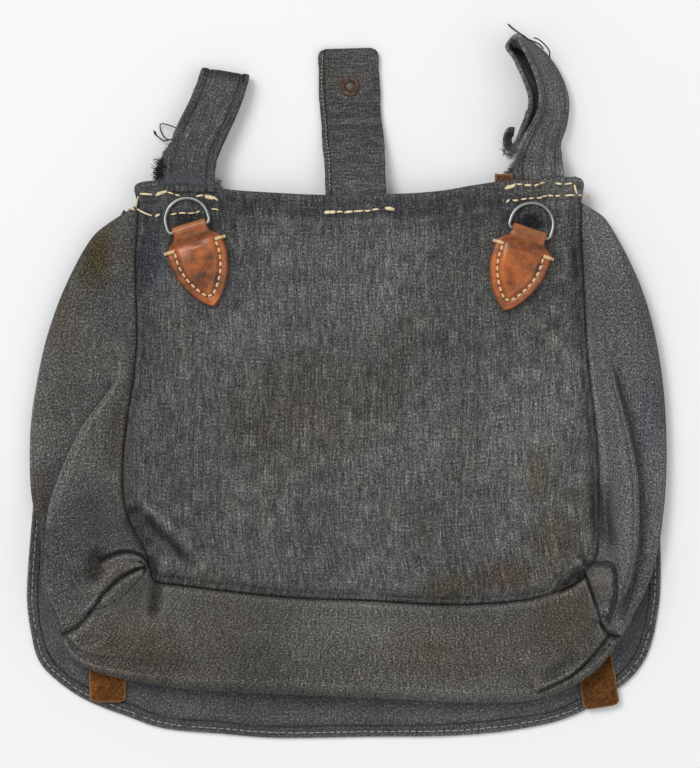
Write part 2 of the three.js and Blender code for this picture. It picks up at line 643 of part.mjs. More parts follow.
const tabFloor = rivetHeadThickness + seamGap;
const tabRun = withSewnEnd(strapSections(tabSections, tabPlace, tabReach, tabWidth, tabFloor));
const rivetSections = [{ ...tabSections[5], along: rivetPlace / tabReach }, tabSections[6]];
const rivetSpot = strapSections(rivetSections, tabPlace, tabReach, tabWidth, tabFloor)[0].centre;
const rivetHoleRadius = rivetCoreDiameter / 2 + seamGap;
const rivetHole = new THREE.CylinderGeometry(rivetHoleRadius, rivetHoleRadius, 20, 16);
rivetHole.rotateX(Math.PI / 2).translate(rivetSpot.x, rivetSpot.y, 0);
const tabSolid = solidOf(ribbon(tabRun, tabWidth, strapThickness)).subtract(solidOf(rivetHole));
bag.add(named("centre_tab", geometryOf(tabSolid), fabric));

const leftLoop = strapSections(leftLoopSections, leftLoopPlace, leftLoopReach, loopWidth, 0);
const leftLoopRun = withSewnEnd(withReturn(leftLoop, 1));
bag.add(named("left_belt_loop", ribbon(leftLoopRun, loopWidth, strapThickness), fabric));
const rightLoop = strapSections(rightLoopSections, rightLoopPlace, rightLoopReach, loopWidth, 0);
const rightLoopRun = withSewnEnd(withReturn(rightLoop, -1));
bag.add(named("right_belt_loop", ribbon(rightLoopRun, loopWidth, strapThickness), fabric));

// Rivet: two heads and a core through the tab, the lower head on the floor
const rivetTop = tabFloor + strapThickness + seamGap + rivetHeadThickness;
const rivetProfile = [
  [0, 0],
  [rivetDiameter / 2, 0],
  [rivetDiameter / 2, rivetHeadThickness],
  [rivetCoreDiameter / 2, rivetHeadThickness],
  [rivetCoreDiameter / 2, rivetTop - rivetHeadThickness],
  [rivetDiameter / 2, rivetTop - rivetHeadThickness],
  [rivetDiameter / 2, rivetTop],
  [rivetCoreDiameter / 2, rivetTop],
  [0, rivetTop - rivetHeadThickness / 2],
].map(([r, z]) => new THREE.Vector2(r, z));
const rivetGeometry = new THREE.LatheGeometry(rivetProfile, 24);
rivetGeometry.rotateX(Math.PI / 2);
const rivet = named("tab_rivet", rivetGeometry, steel);
rivet.position.set(rivetSpot.x, rivetSpot.y, 0);
bag.add(rivet);

// Leather patch that backs the right belt loop, caught under the hem beside it
const patch = new THREE.BoxGeometry(backingWidth, backingDepth, strapThickness);
const patchX = rightLoopPlace - loopWidth / 2 - seamGap - backingWidth / 2 - 0.5;
patch.translate(patchX, hemLineAt(patchX) + backingReach - backingDepth / 2, strapBase + strapThickness / 2);
bag.add(named("backing_patch", patch, strapLeather));

// Ring: a bar, two sides and a half-round bow, lying in the plane z = 0 with its bar along X
function ringPath() {
  const half = ringWidth / 2;
  const side = ringHeight - half;
  const corner = (cx, cy, from) => {
    const points = [];
    for (let k = 0; k <= 4; k++) {
      const angle = from + (k / 4) * (Math.PI / 2);
      points.push(new THREE.Vector2(cx + Math.cos(angle) * ringCorner, cy + Math.sin(angle) * ringCorner));
    }
    return points;
  };
  const bow = [];
  for (let k = 0; k <= 14; k++) {
    const angle = (k / 14) * Math.PI;
    bow.push(new THREE.Vector2(Math.cos(angle) * half, side + Math.sin(angle) * half));
  }
  const barLeft = corner(-half + ringCorner, ringCorner, Math.PI);
  const barRight = corner(half - ringCorner, ringCorner, -Math.PI / 2);
  return [...barLeft, ...barRight, ...bow];
}

function wireLoop(points) {
  const vertices = [];
  const rise = wireDiameter / 2;
  points.forEach((p, i) => {
    const ahead = points[(i + 1) % points.length];
    const behind = points[(i - 1 + points.length) % points.length];
    const run = ahead.clone().sub(behind).normalize();
    for (let k = 0; k < wireSides; k++) {
      const angle = (k / wireSides) * 2 * Math.PI;
      const out = Math.cos(angle) * rise;
      vertices.push(new THREE.Vector3(p.x + run.y * out, p.y - run.x * out, Math.sin(angle) * rise));
    }
  });
  return ringsToGeometry(vertices, wireSides, points.length, true);
}

// Chape: two layers of leather with a raised middle, folded round the bar. Its bar lies along X at the
// height barHeight over its underside, and its tip points to -Y.
const eyeRadius = wireDiameter / 2 + ringClearance;
const barHeight = eyeRadius + leatherThickness;
function chapeSolid() {
  const columns = [-1, -0.82, -0.5, 0, 0.5, 0.82, 1];
  const rows = refined(chapeSections, 2);
  const face = (level) =>
    rows.map(({ along, half, puff }) =>
      columns.map((c) => {
        const z = level * 2 * leatherThickness * (1 + puff * (1 - c * c));
        return new THREE.Vector3((c * half * chapeWidth) / 2, -along * chapeLength, z);
      }),
    );
  const barrel = new THREE.CylinderGeometry(barHeight, barHeight, chapeNeckWidth, 20);
  barrel.rotateZ(Math.PI / 2).translate(0, 0, barHeight);
  const eye = new THREE.CylinderGeometry(eyeRadius, eyeRadius, chapeWidth, 16);
  eye.rotateZ(Math.PI / 2).translate(0, 0, barHeight);
  return solidOf(slab(face(1), face(0))).add(solidOf(barrel)).subtract(solidOf(eye));
}

const wire = wireLoop(ringPath());
const chape = geometryOf(chapeSolid());
for (const { side, chapeA, chapeD, chapeTurn, strapA, strapD, strapTurn } of fittings) {
  const turn = THREE.MathUtils.degToRad(chapeTurn);
  const bar = new THREE.Vector2(planX(chapeA), planY(chapeD));
  const onChape = (x, y) => new THREE.Vector2(x, y).rotateAround(new THREE.Vector2(), turn).add(bar);
  const feet = chapeSections.flatMap(({ along, half }) =>
    [-1, 0, 1].map((c) => onChape((c * half * chapeWidth) / 2, -along * chapeLength)),
  );
  const seat = Math.max(...feet.map((p) => panelHeight(p.x, p.y))) + seamGap;
  const leather = named(`${side}_chape`, chape.clone(), chapeLeather);
  leather.position.set(bar.x, bar.y, seat);
  leather.rotation.z = turn;
  bag.add(leather);

  const bow = onChape(0, ringHeight);
  const drop = seat + barHeight - (panelHeight(bow.x, bow.y) + seamGap + wireDiameter / 2);
  const ring = named(`${side}_ring`, wire.clone(), steel);
  ring.geometry.rotateX(-Math.asin(drop / ringHeight));
  ring.position.set(bar.x, bar.y, seat + barHeight);
  ring.rotation.z = turn;
  bag.add(ring);

  const strap = new THREE.BoxGeometry(closingStrapWidth, closingStrapLength, closingStrapThickness);
  strap.translate(0, closingStrapLength / 2, 0);
  const closing = named(`${side}_closing_strap`, strap, strapLeather);
  closing.position.set(planX(strapA), planY(strapD), strapLevel + closingStrapThickness / 2);
  closing.rotation.z = THREE.MathUtils.degToRad(strapTurn);
  bag.add(closing);
}

// The origin goes under the middle of the whole thing
const whole = new THREE.Box3().setFromObject(bag, true);
bag.position.set(-(whole.min.x + whole.max.x) / 2, -(whole.min.y + whole.max.y) / 2, 0);

export default bag;
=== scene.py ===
"""A wool-canvas haversack lying on its front on a pale table, seen from its back.

The bag is sewn from a back panel, a front panel, two side gussets and a base strip. Its flap lies
folded underneath. Leather chapes hold two steel rings, and a tab and two torn belt loops stand at
the mouth. Every length in this file is in millimetres until a mesh is written, in metres, around the
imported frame. Places on the bag are given as millimetres right of its middle and up from its top
corners.
"""

from __future__ import annotations

import json
import logging
import math
from dataclasses import dataclass, field
from enum import Enum
from typing import Any, Protocol, Sequence

import bpy
import numpy as np
from mathutils import Matrix, Vector
from mathutils.bvhtree import BVHTree


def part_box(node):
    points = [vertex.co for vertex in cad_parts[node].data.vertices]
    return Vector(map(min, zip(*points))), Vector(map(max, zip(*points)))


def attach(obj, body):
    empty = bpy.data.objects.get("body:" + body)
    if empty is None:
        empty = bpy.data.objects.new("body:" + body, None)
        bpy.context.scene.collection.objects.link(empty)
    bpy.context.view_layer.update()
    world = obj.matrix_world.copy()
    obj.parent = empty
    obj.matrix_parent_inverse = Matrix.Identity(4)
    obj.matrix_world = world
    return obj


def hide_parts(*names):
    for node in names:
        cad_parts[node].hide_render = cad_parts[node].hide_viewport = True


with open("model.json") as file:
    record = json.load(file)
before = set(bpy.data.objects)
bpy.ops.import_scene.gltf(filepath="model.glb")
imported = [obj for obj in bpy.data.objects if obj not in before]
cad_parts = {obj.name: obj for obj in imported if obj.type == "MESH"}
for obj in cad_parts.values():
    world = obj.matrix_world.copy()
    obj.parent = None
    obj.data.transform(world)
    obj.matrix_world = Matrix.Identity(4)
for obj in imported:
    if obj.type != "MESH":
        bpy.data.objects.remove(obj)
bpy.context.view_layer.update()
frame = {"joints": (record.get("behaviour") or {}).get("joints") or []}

log = logging.getLogger("haversack")

MM = 0.001
ROOT = "bag"

Point = tuple[float, float]
Spot = tuple[float, float, float]
Colour = tuple[float, float, float]
Array = np.ndarray


# Measures shared by all pieces


class Slot(Enum):
    """The record's material slots."""

    CLOTH = "cloth"
    CHAPE = "chape_leather"
    STRAP = "strap_leather"
    STEEL = "steel"


def node_box(node: str) -> Array:
    """The lowest and highest corners of a CAD node, as a 2 by 3 array in millimetres."""
    low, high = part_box(node)
    return np.array([low, high]) / MM


@dataclass(frozen=True)
class Plan:
    """Where the bag's own measures lie in the frame.

    Attributes:
        middle: where the bag's middle line lies, along X.
        top: where its top corners lie, along Y.
        hem_top: height of the back panel over its top hem.
        body_floor: height of the front panel's face.
        width: across the widest stretch of the two gussets.
        length: from the top corners to the lowest point of the base.
        fold_rise: how far the highest fold stands above the hem.
        cloth: thickness of one layer.
    """

    middle: float
    top: float
    hem_top: float
    body_floor: float
    width: float = 359.0
    length: float = 293.0
    fold_rise: float = 14.0
    cloth: float = 1.5

    @classmethod
    def from_frame(cls) -> Plan:
        """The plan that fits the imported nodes."""
        corner_rise = 0.008
        panel = node_box("back_panel")
        left = node_box("left_gusset")
        right = node_box("right_gusset")
        return cls(
            middle=(left[0, 0] + right[1, 0]) / 2,
            top=panel[1, 1] - corner_rise * cls.length,
            hem_top=panel[0, 2] + cls.cloth,
            body_floor=node_box("front_panel")[0, 2],
        )

    def place(self, points: Sequence[Point] | Array) -> Array:
        """Places on the bag, in millimetres right and up, as places in the frame."""
        return np.asarray(points, float) + (self.middle, self.top)

    def shares(self, across: Any, down: Any) -> Array:
        """Places given as shares of half the width and of the length, as places in the frame."""
        right = np.asarray(across, float) * self.width / 2
        up = -np.asarray(down, float) * self.length
        return self.place(np.stack([right, up], axis=-1))

    def high(self, share: Any) -> Any:
        """A height given as a share of the fold rise above the hem."""
        return self.hem_top + np.asarray(share) * self.fold_rise


PLAN = Plan.from_frame()


# Curves, noise and nets of points


def smooth_table(rows: Array, per_row: int) -> Array:
    """A table with rows put smoothly between its own.

    Args:
        rows: one row for each section.
        per_row: how many rows each step is divided into.

    Returns:
        The finer table, which starts and ends as the given one does.
    """
    rows = np.asarray(rows, float)
    last = len(rows) - 1
    t = (np.arange(per_row) / per_row)[:, None]
    made = []
    for i in range(last):
        before, start = rows[max(i - 1, 0)], rows[i]
        end, after = rows[i + 1], rows[min(i + 2, last)]
        slope_a, slope_b = (end - before) / 2, (after - start) / 2
        made.append(
            (2 * t**3 - 3 * t**2 + 1) * start
            + (t**3 - 2 * t**2 + t) * slope_a
            + (3 * t**2 - 2 * t**3) * end
            + (t**3 - t**2) * slope_b
        )
    made.append(rows[last][None])
    return np.concatenate(made)


def run_along(line: Array) -> Array:
    """How far along a line of close points each of them lies."""
    return np.concatenate([[0], np.cumsum(np.linalg.norm(np.diff(line, axis=0), axis=1))])


def unit(vectors: Array) -> Array:
    """Vectors with their length made 1."""
    return vectors / np.maximum(np.linalg.norm(vectors, axis=-1, keepdims=True), 1e-9)


def left_of(line: Array) -> Array:
    """The direction to the left of a line in plan, at each of its points."""
    ahead = unit(np.gradient(line, axis=0))
    return np.stack([-ahead[:, 1], ahead[:, 0]], axis=1)


def lifted(line: Array, height: Array | float) -> Array:
    """A line in plan, put at one height or at a height for each point."""
    return np.column_stack([line, np.broadcast_to(height, len(line))])


def turned(places: Array, degrees: float) -> Array:
    """Places in plan turned to the left about the origin."""
    turn = math.radians(degrees)
    return places @ np.array([[math.cos(turn), math.sin(turn)], [-math.sin(turn), math.cos(turn)]])


def angles(sides: int) -> Array:
    """Even angles round a circle."""
    return np.arange(sides) / sides * 2 * math.pi


def bell(value: Any, width: float) -> Any:
    """1 where a value is 0, dying away smoothly on both sides within some width."""
    return np.exp(-((value / width) ** 2))


def evenly(points: Array, count: int, by: int | None = None) -> Array:
    """Points at even steps along a line of close points.

    Args:
        points: the line, or rows of any numbers that change along it.
        count: how many points come back.
        by: how many leading columns are places, whose distance sets the steps.

    Returns:
        An array with count rows.
    """
    places = points[:, :by] if by else points
    run = run_along(places)
    wanted = np.linspace(0, run[-1], count)
    return np.stack([np.interp(wanted, run, column) for column in points.T], axis=1)


def curve_through(points: Sequence[Sequence[float]] | Array, count: int) -> Array:
    """Even points on a smooth curve through a few given ones."""
    return evenly(smooth_table(np.asarray(points, float), 12), count)


def noise(x: Array, y: Array, size: float, seed: int) -> Array:
    """Smooth seeded unevenness from -1 to 1.

    Args:
        x: places along one direction.
        y: places along the other.
        size: how far apart its bumps lie.
        seed: which pattern it is.

    Returns:
        One value for each place.
    """
    lattice = np.random.default_rng(seed).uniform(-1, 1, (97, 97))
    gx, gy = x / size + 31.7, y / size + 17.3
    ix, iy = np.floor(gx).astype(int), np.floor(gy).astype(int)
    fx, fy = gx - ix, gy - iy
    sx, sy = fx * fx * (3 - 2 * fx), fy * fy * (3 - 2 * fy)
    corner = lambda dx, dy: lattice[(iy + dy) % 97, (ix + dx) % 97]  # noqa: E731
    low = corner(0, 0) * (1 - sx) + corner(1, 0) * sx
    high = corner(0, 1) * (1 - sx) + corner(1, 1) * sx
    return low * (1 - sy) + high * sy


def ripple(x: Array, size: float, seed: int) -> Array:
    """Noise along one direction."""
    return noise(x, x * 0, size, seed)


def smoothstep(value: Array, start: float, end: float) -> Array:
    """0 before start, 1 after end, and smooth between."""
    t = np.clip((value - start) / (end - start), 0, 1)
    return t * t * (3 - 2 * t)


def nearest_on(line: Array, places: Array) -> tuple[Array, Array]:
    """How places lie beside a line.

    Args:
        line: the line's points, in plan.
        places: the places, in plan.

    Returns:
        Each place's distance from the line, positive on its left, and how far along it that is.
    """
    start, step = line[:-1], np.diff(line, axis=0)
    length = np.maximum(np.linalg.norm(step, axis=1), 1e-9)
    before = np.concatenate([[0], np.cumsum(length)[:-1]])
    best = np.full(len(places), np.inf)
    side = np.zeros(len(places))
    along = np.zeros(len(places))
    for a, d, size, run in zip(start, step, length, before):
        away = places - a
        t = np.clip(away @ d / size**2, 0, 1)
        gap = np.linalg.norm(away - t[:, None] * d, axis=1)
        closer = gap < best
        best[closer] = gap[closer]
        side[closer] = (d[0] * away[closer, 1] - d[1] * away[closer, 0]) / size
        along[closer] = run + t[closer] * size
    return np.where(side < 0, -best, best), along


def close_to(line: Array, places: Array, reach: float) -> Array:
    """Which places lie in a line's box, or within some reach of it."""
    return np.all((places > line.min(0) - reach) & (places < line.max(0) + reach), axis=1)


def gap_to(points: Array, places: Array) -> Array:
    """How far each place lies from the nearest of some points."""
    return np.min(np.linalg.norm(places[:, None] - points[None], axis=2), axis=1)


@dataclass(frozen=True)
class Crease:
    """A fold line pressed into cloth.

    Attributes:
        line: its points on the bag.
        rise: how high the ridge along it stands, negative for a valley.
        width: how far the ridge spreads to each side.
        step: how far the cloth on its left stands above that on its right, beside the line.
        spread: over how far the step is rounded.
        reach: over how far the step dies away again.
        fade: how far in from each end it grows to its full height.
        dark: how much painted shade darkens its bottom.
    """

    line: tuple[Point, ...]
    rise: float = 0.0
    width: float = 2.0
    step: float = 0.0
    spread: float = 0.8
    reach: float = 12.0
    fade: float = 6.0
    dark: float = 0.0

    def press(self, net: Net) -> None:
        """Presses the crease into a net's upper faces."""
        fine = PLAN.place(curve_through(self.line, 40))
        flat = net.points.reshape(-1, 3)
        near = close_to(fine, flat[:, :2], 3 * self.reach)
        if not near.any():
            return
        gap, along = nearest_on(fine, flat[near, :2])
        total = run_along(fine)[-1]
        fade = min(self.fade, total / 2.2)
        taper = smoothstep(along, 0, fade) * smoothstep(total - along, 0, fade)
        across = bell(gap, self.width)
        beside = 0.5 * np.tanh(gap / self.spread) * np.exp(-np.abs(gap) / self.reach)
        share = taper * net.up.reshape(-1)[near]
        flat[near, 2] += share * (self.rise * across + self.step * beside)
        net.points = flat.reshape(net.points.shape)
        # painted shade along the crease's bottom
        shade = net.crevice.reshape(-1)
        shade[near] = np.maximum(shade[near], share * self.dark * across)
        net.crevice = shade.reshape(net.crevice.shape)


@dataclass
class Net:
    """A net of points on one face of a sheet, with what its material needs to know.

    Attributes:
        points: rows by columns by 3.
        up: how much each point takes creases, from 0 to 1.
        crevice: how much painted shade darkens each point, in its hollows.
    """

    points: Array
    up: Array = field(default=None)  # type: ignore[assignment]
    crevice: Array = field(default=None)  # type: ignore[assignment]

    def __post_init__(self) -> None:
        """Fills in what wasn't given."""
        shape = self.points.shape[:2]
        self.up = np.ones(shape) if self.up is None else self.up
        self.crevice = np.zeros(shape) if self.crevice is None else self.crevice

    def normals(self) -> Array:
        """A unit normal at each point."""
        down = np.gradient(self.points, axis=0)
        along = np.gradient(self.points, axis=1)
        return unit(np.cross(along, down))

    def beneath(self, thickness: float) -> Array:
        """The points of a sheet's other face."""
        return self.points - self.normals() * thickness

    def inside(self, thickness: float) -> Array:
        """The points of the other face of a sheet whose first columns face up, however they are laid."""
        facing = self.normals()[:, : self.points.shape[1] // 4, 2].mean()
        return self.beneath(math.copysign(thickness, facing))

    def weave(self) -> Array:
        """Each point's place in the flat cloth: along the weft, along the warp, and nothing."""
        across = np.linalg.norm(np.diff(self.points, axis=1), axis=2)
        down = np.linalg.norm(np.diff(self.points, axis=0), axis=2).mean(axis=1)
        u = np.pad(np.cumsum(across, axis=1), ((0, 0), (1, 0)))
        u -= u[:, [u.shape[1] // 2]]
        v = np.pad(np.cumsum(down), (1, 0))[:, None] * np.ones_like(u)
        return np.stack([u, v, np.zeros_like(u)], axis=2)

    def roughen(self, amount: float, size: float, seed: int) -> None:
        """Gives the cloth soft unevenness of one size, in height."""
        x, y = self.points[..., 0], self.points[..., 1]
        self.points[..., 2] += amount * self.up * noise(x, y, size, seed)

    def bend_of(self, reach: int) -> Array:
        """How far each point stands out from its neighbours some steps away: above 0 on a ridge."""
        p = np.pad(self.points, ((reach, reach), (reach, reach), (0, 0)), mode="edge")
        mean = (
            p[reach:-reach, : -2 * reach]
            + p[reach:-reach, 2 * reach :]
            + p[: -2 * reach, reach:-reach]
            + p[2 * reach :, reach:-reach]
        ) / 4
        out = np.einsum("ijk,ijk->ij", self.points - mean, self.normals())
        out[:reach], out[-reach:] = 0, 0
        out[:, :reach], out[:, -reach:] = 0, 0
        return out


def coons(left: Array, right: Array, top: Array, bottom: Array) -> Array:
    """A net through four edge lines: left and right run down, top and bottom run across."""
    v = np.linspace(0, 1, len(left))[:, None, None]
    u = np.linspace(0, 1, len(top))[None, :, None]
    across = left[:, None] * (1 - u) + right[:, None] * u
    down = top[None] * (1 - v) + bottom[None] * v
    corners = (top[0] * (1 - u) + top[-1] * u) * (1 - v) + (bottom[0] * (1 - u) + bottom[-1] * u) * v
    return across + down - corners


# Writing meshes


WORN_BEND = 0.5  # how far a ridge stands out where it is fully worn
# A valley takes its full painted shade at this depth.
SUNK_BEND = 0.75  # how deep a valley lies where it is fully dark


def tube_faces(count: int, sides: int) -> Array:
    """The faces of a closed tube whose rings come first and whose two end points come last.

    Args:
        count: how many rings it has.
        sides: how many points each ring has.

    Returns:
        Rows of four indices, with the last repeated for a triangle.
    """
    i, k = np.meshgrid(np.arange(count - 1), np.arange(sides), indexing="ij")
    at = lambda a, b: (a * sides + b % sides).ravel()  # noqa: E731
    walls = (at(i, k), at(i, k + 1), at(i + 1, k + 1), at(i + 1, k))
    k = np.arange(sides)
    base, tip = (count - 1) * sides, np.full(sides, count * sides)
    start = ((k + 1) % sides, k, tip, tip)
    end = (base + k, base + (k + 1) % sides, tip + 1, tip + 1)
    return np.concatenate([np.stack(rows, axis=1) for rows in (walls, start, end)])


def tube_weave(run: Array, around: Array) -> Array:
    """Where each point of a tube lies in its cloth or thread.

    Args:
        run: how far along each ring lies.
        around: how far round each side lies.

    Returns:
        A row for each point of the rings and for the two end points.
    """
    weave = np.zeros((len(run) * len(around) + 2, 3))
    weave[:-2, 0] = np.tile(around, len(run))
    weave[:-2, 1] = np.repeat(run, len(around))
    return weave


class Finish(Protocol):
    """What a piece can be made of."""

    def build(self) -> bpy.types.Material:
        """Makes the material."""


class MeshWriter:
    """Collects vertices and faces in millimetres and writes one object."""

    def __init__(self) -> None:
        """Starts empty."""
        self.vertices: list[Array] = []
        self.faces: list[Array] = []
        self.marks: dict[str, list[Array]] = {"weave": [], "crevice": [], "wear": []}
        self.count = 0

    def add(self, vertices: Array, faces: Array, **marks: Array) -> None:
        """Adds one closed shell.

        Args:
            vertices: its points.
            faces: rows of four indices, with the last repeated for a triangle.
            **marks: weave, crevice or wear for each vertex.
        """
        a, b, c, d = (vertices[faces[:, k]] for k in range(4))
        volume = np.einsum("ij,ij->", a, np.cross(b, c)) + np.einsum("ij,ij->", a, np.cross(c, d))
        if volume < 0:
            faces = faces[:, ::-1]
        self.vertices.append(vertices)
        self.faces.append(faces + self.count)
        self.count += len(vertices)
        for name, rows in self.marks.items():
            width = (3,) if name == "weave" else ()
            rows.append(np.asarray(marks.get(name, np.zeros((len(vertices), *width))), float))

    def add_slab(self, outer: Array, inner: Array, **marks: Array) -> None:
        """Adds a sheet between two nets of the same size.

        Args:
            outer: the shown face's points.
            inner: the other face's points.
            **marks: weave, crevice or wear, rows by columns, used on both faces.
        """
        rows, columns = outer.shape[:2]
        index = np.arange(rows * columns).reshape(rows, columns)
        corner = (index[:-1, :-1], index[1:, :-1], index[1:, 1:], index[:-1, 1:])
        front_faces = np.stack([c.ravel() for c in corner], axis=1)
        back_faces = front_faces[:, ::-1] + rows * columns
        rim = np.concatenate([index[0, :-1], index[:-1, -1], index[-1, :0:-1], index[:0:-1, 0]])
        ahead = np.roll(rim, -1)
        side = np.stack([rim, ahead, ahead + rows * columns, rim + rows * columns], axis=1)
        vertices = np.concatenate([outer.reshape(-1, 3), inner.reshape(-1, 3)])
        spread = {}
        for name, values in marks.items():
            one = values.reshape(rows * columns, -1)
            both = np.concatenate([one, one])
            spread[name] = both if name == "weave" else both[:, 0]
        self.add(vertices, np.concatenate([front_faces, back_faces, side]), **spread)

    def add_net(self, net: Net, inner: Array) -> None:
        """Adds a sheet of cloth or leather, worn on its ridges and with painted shade in its valleys.

        Args:
            net: the shown face.
            inner: the other face's points.
        """
        bend = net.bend_of(3)
        wear = np.clip(bend / WORN_BEND, 0, 1)
        # painted shade in the valleys, on top of what the net already carries
        crevice = np.maximum(net.crevice, 0.85 * np.clip(-bend / SUNK_BEND, 0, 1))
        self.add_slab(net.points, inner, weave=net.weave(), crevice=crevice, wear=wear)

    def add_tube(self, line: Array, radius: Array | float, sides: int = 8, flat: float = 1.0) -> None:
        """Adds a round-ended strand along a line.

        Args:
            line: its centre points.
            radius: half its thickness, one value or one for each point.
            sides: how many sides its section has.
            flat: its height as a share of its width.
        """
        count = len(line)
        radius = np.broadcast_to(np.asarray(radius, float), (count,))
        along = unit(np.gradient(line, axis=0))
        side = np.cross(along, (0.0, 0.0, 1.0))
        side[np.linalg.norm(side, axis=1) < 1e-3] = (1, 0, 0)
        side = unit(side)
        rise = np.cross(side, along) * flat
        turn = angles(sides)
        ring = np.cos(turn)[None, :, None] * side[:, None] + np.sin(turn)[None, :, None] * rise[:, None]
        body = line[:, None] + ring * radius[:, None, None]
        tips = np.stack([line[0] - along[0] * radius[0] * 0.7, line[-1] + along[-1] * radius[-1] * 0.7])
        vertices = np.concatenate([body.reshape(-1, 3), tips])
        weave = tube_weave(run_along(line), np.arange(sides) / sides)
        self.add(vertices, tube_faces(count, sides), weave=weave)

    def write(
        self, name: str, finish: Finish, slot: Slot, *nodes: str, body: str = ROOT
    ) -> bpy.types.Object:
        """Writes what was added as one piece and puts it into the frame.

        Args:
            name: the piece's name.
            finish: what it is made of.
            slot: the record's slot that the finish belongs to; not used.
            *nodes: the CAD nodes that it stands for.
            body: the body that it moves with.

        Returns:
            The new object, at the origin.
        """
        vertices = np.concatenate(self.vertices) * MM
        quads = np.concatenate(self.faces)
        faces = [[a, b, c] if c == d else [a, b, c, d] for a, b, c, d in quads.tolist()]
        faces = [f[1:] if f[0] == f[1] else f for f in faces]
        mesh = bpy.data.meshes.new(name)
        mesh.from_pydata(vertices.tolist(), [], faces)
        for mark, rows in self.marks.items():
            values = np.concatenate(rows).astype(np.float32)
            if mark == "weave":
                layer = mesh.attributes.new(mark, "FLOAT_VECTOR", "POINT")
                layer.data.foreach_set("vector", (values * MM).ravel())
            else:
                layer = mesh.attributes.new(mark, "FLOAT", "POINT")
                layer.data.foreach_set("value", values)
        mesh.polygons.foreach_set("use_smooth", [True] * len(mesh.polygons))
        mesh.materials.append(finish.build())
        mesh.update()
        piece = bpy.data.objects.new(name, mesh)
        bpy.context.scene.collection.objects.link(piece)
        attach(piece, body)
        if nodes:
            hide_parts(*nodes)
        triangles = sum(len(p.vertices) - 2 for p in mesh.polygons)
        area = sum(p.area for p in mesh.polygons) / 2
        log.info("%s: %d triangles, %.4f m2 a side, on %s", name, triangles, area, body)
        return piece


class Ground:
    """Finds how high finished pieces lie under a place, so that what is sewn on rests on them."""

    def __init__(self, *pieces: bpy.types.Object) -> None:
        """Takes the pieces to rest on."""
        vertices: list[Vector] = []
        polygons: list[list[int]] = []
        for piece in pieces:
            base = len(vertices)
            vertices += [v.co.copy() for v in piece.data.vertices]
            polygons += [[base + i for i in p.vertices] for p in piece.data.polygons]
        self.tree = BVHTree.FromPolygons(vertices, polygons)

    def height(self, x: float, y: float) -> float:
        """The highest face at a place in the frame, or the table where there is none."""
        hit = self.tree.ray_cast(Vector((x * MM, y * MM, 1.0)), Vector((0, 0, -1)))
        return hit[0].z / MM if hit[0] else 0.0

    def heights(self, line: Array) -> Array:
        """The height under each point of a line."""
        return np.array([self.height(*place) for place in line[:, :2]])


# Shader maths


def linear(red: float, green: float, blue: float) -> tuple[float, float, float, float]:
    """A colour given as 0 to 255 screen values, as the linear colour that shaders take."""
    values = []
    for channel in (red, green, blue):
        share = channel / 255
        values.append(share / 12.92 if share <= 0.04045 else ((share + 0.055) / 1.055) ** 2.4)
    return (*values, 1.0)


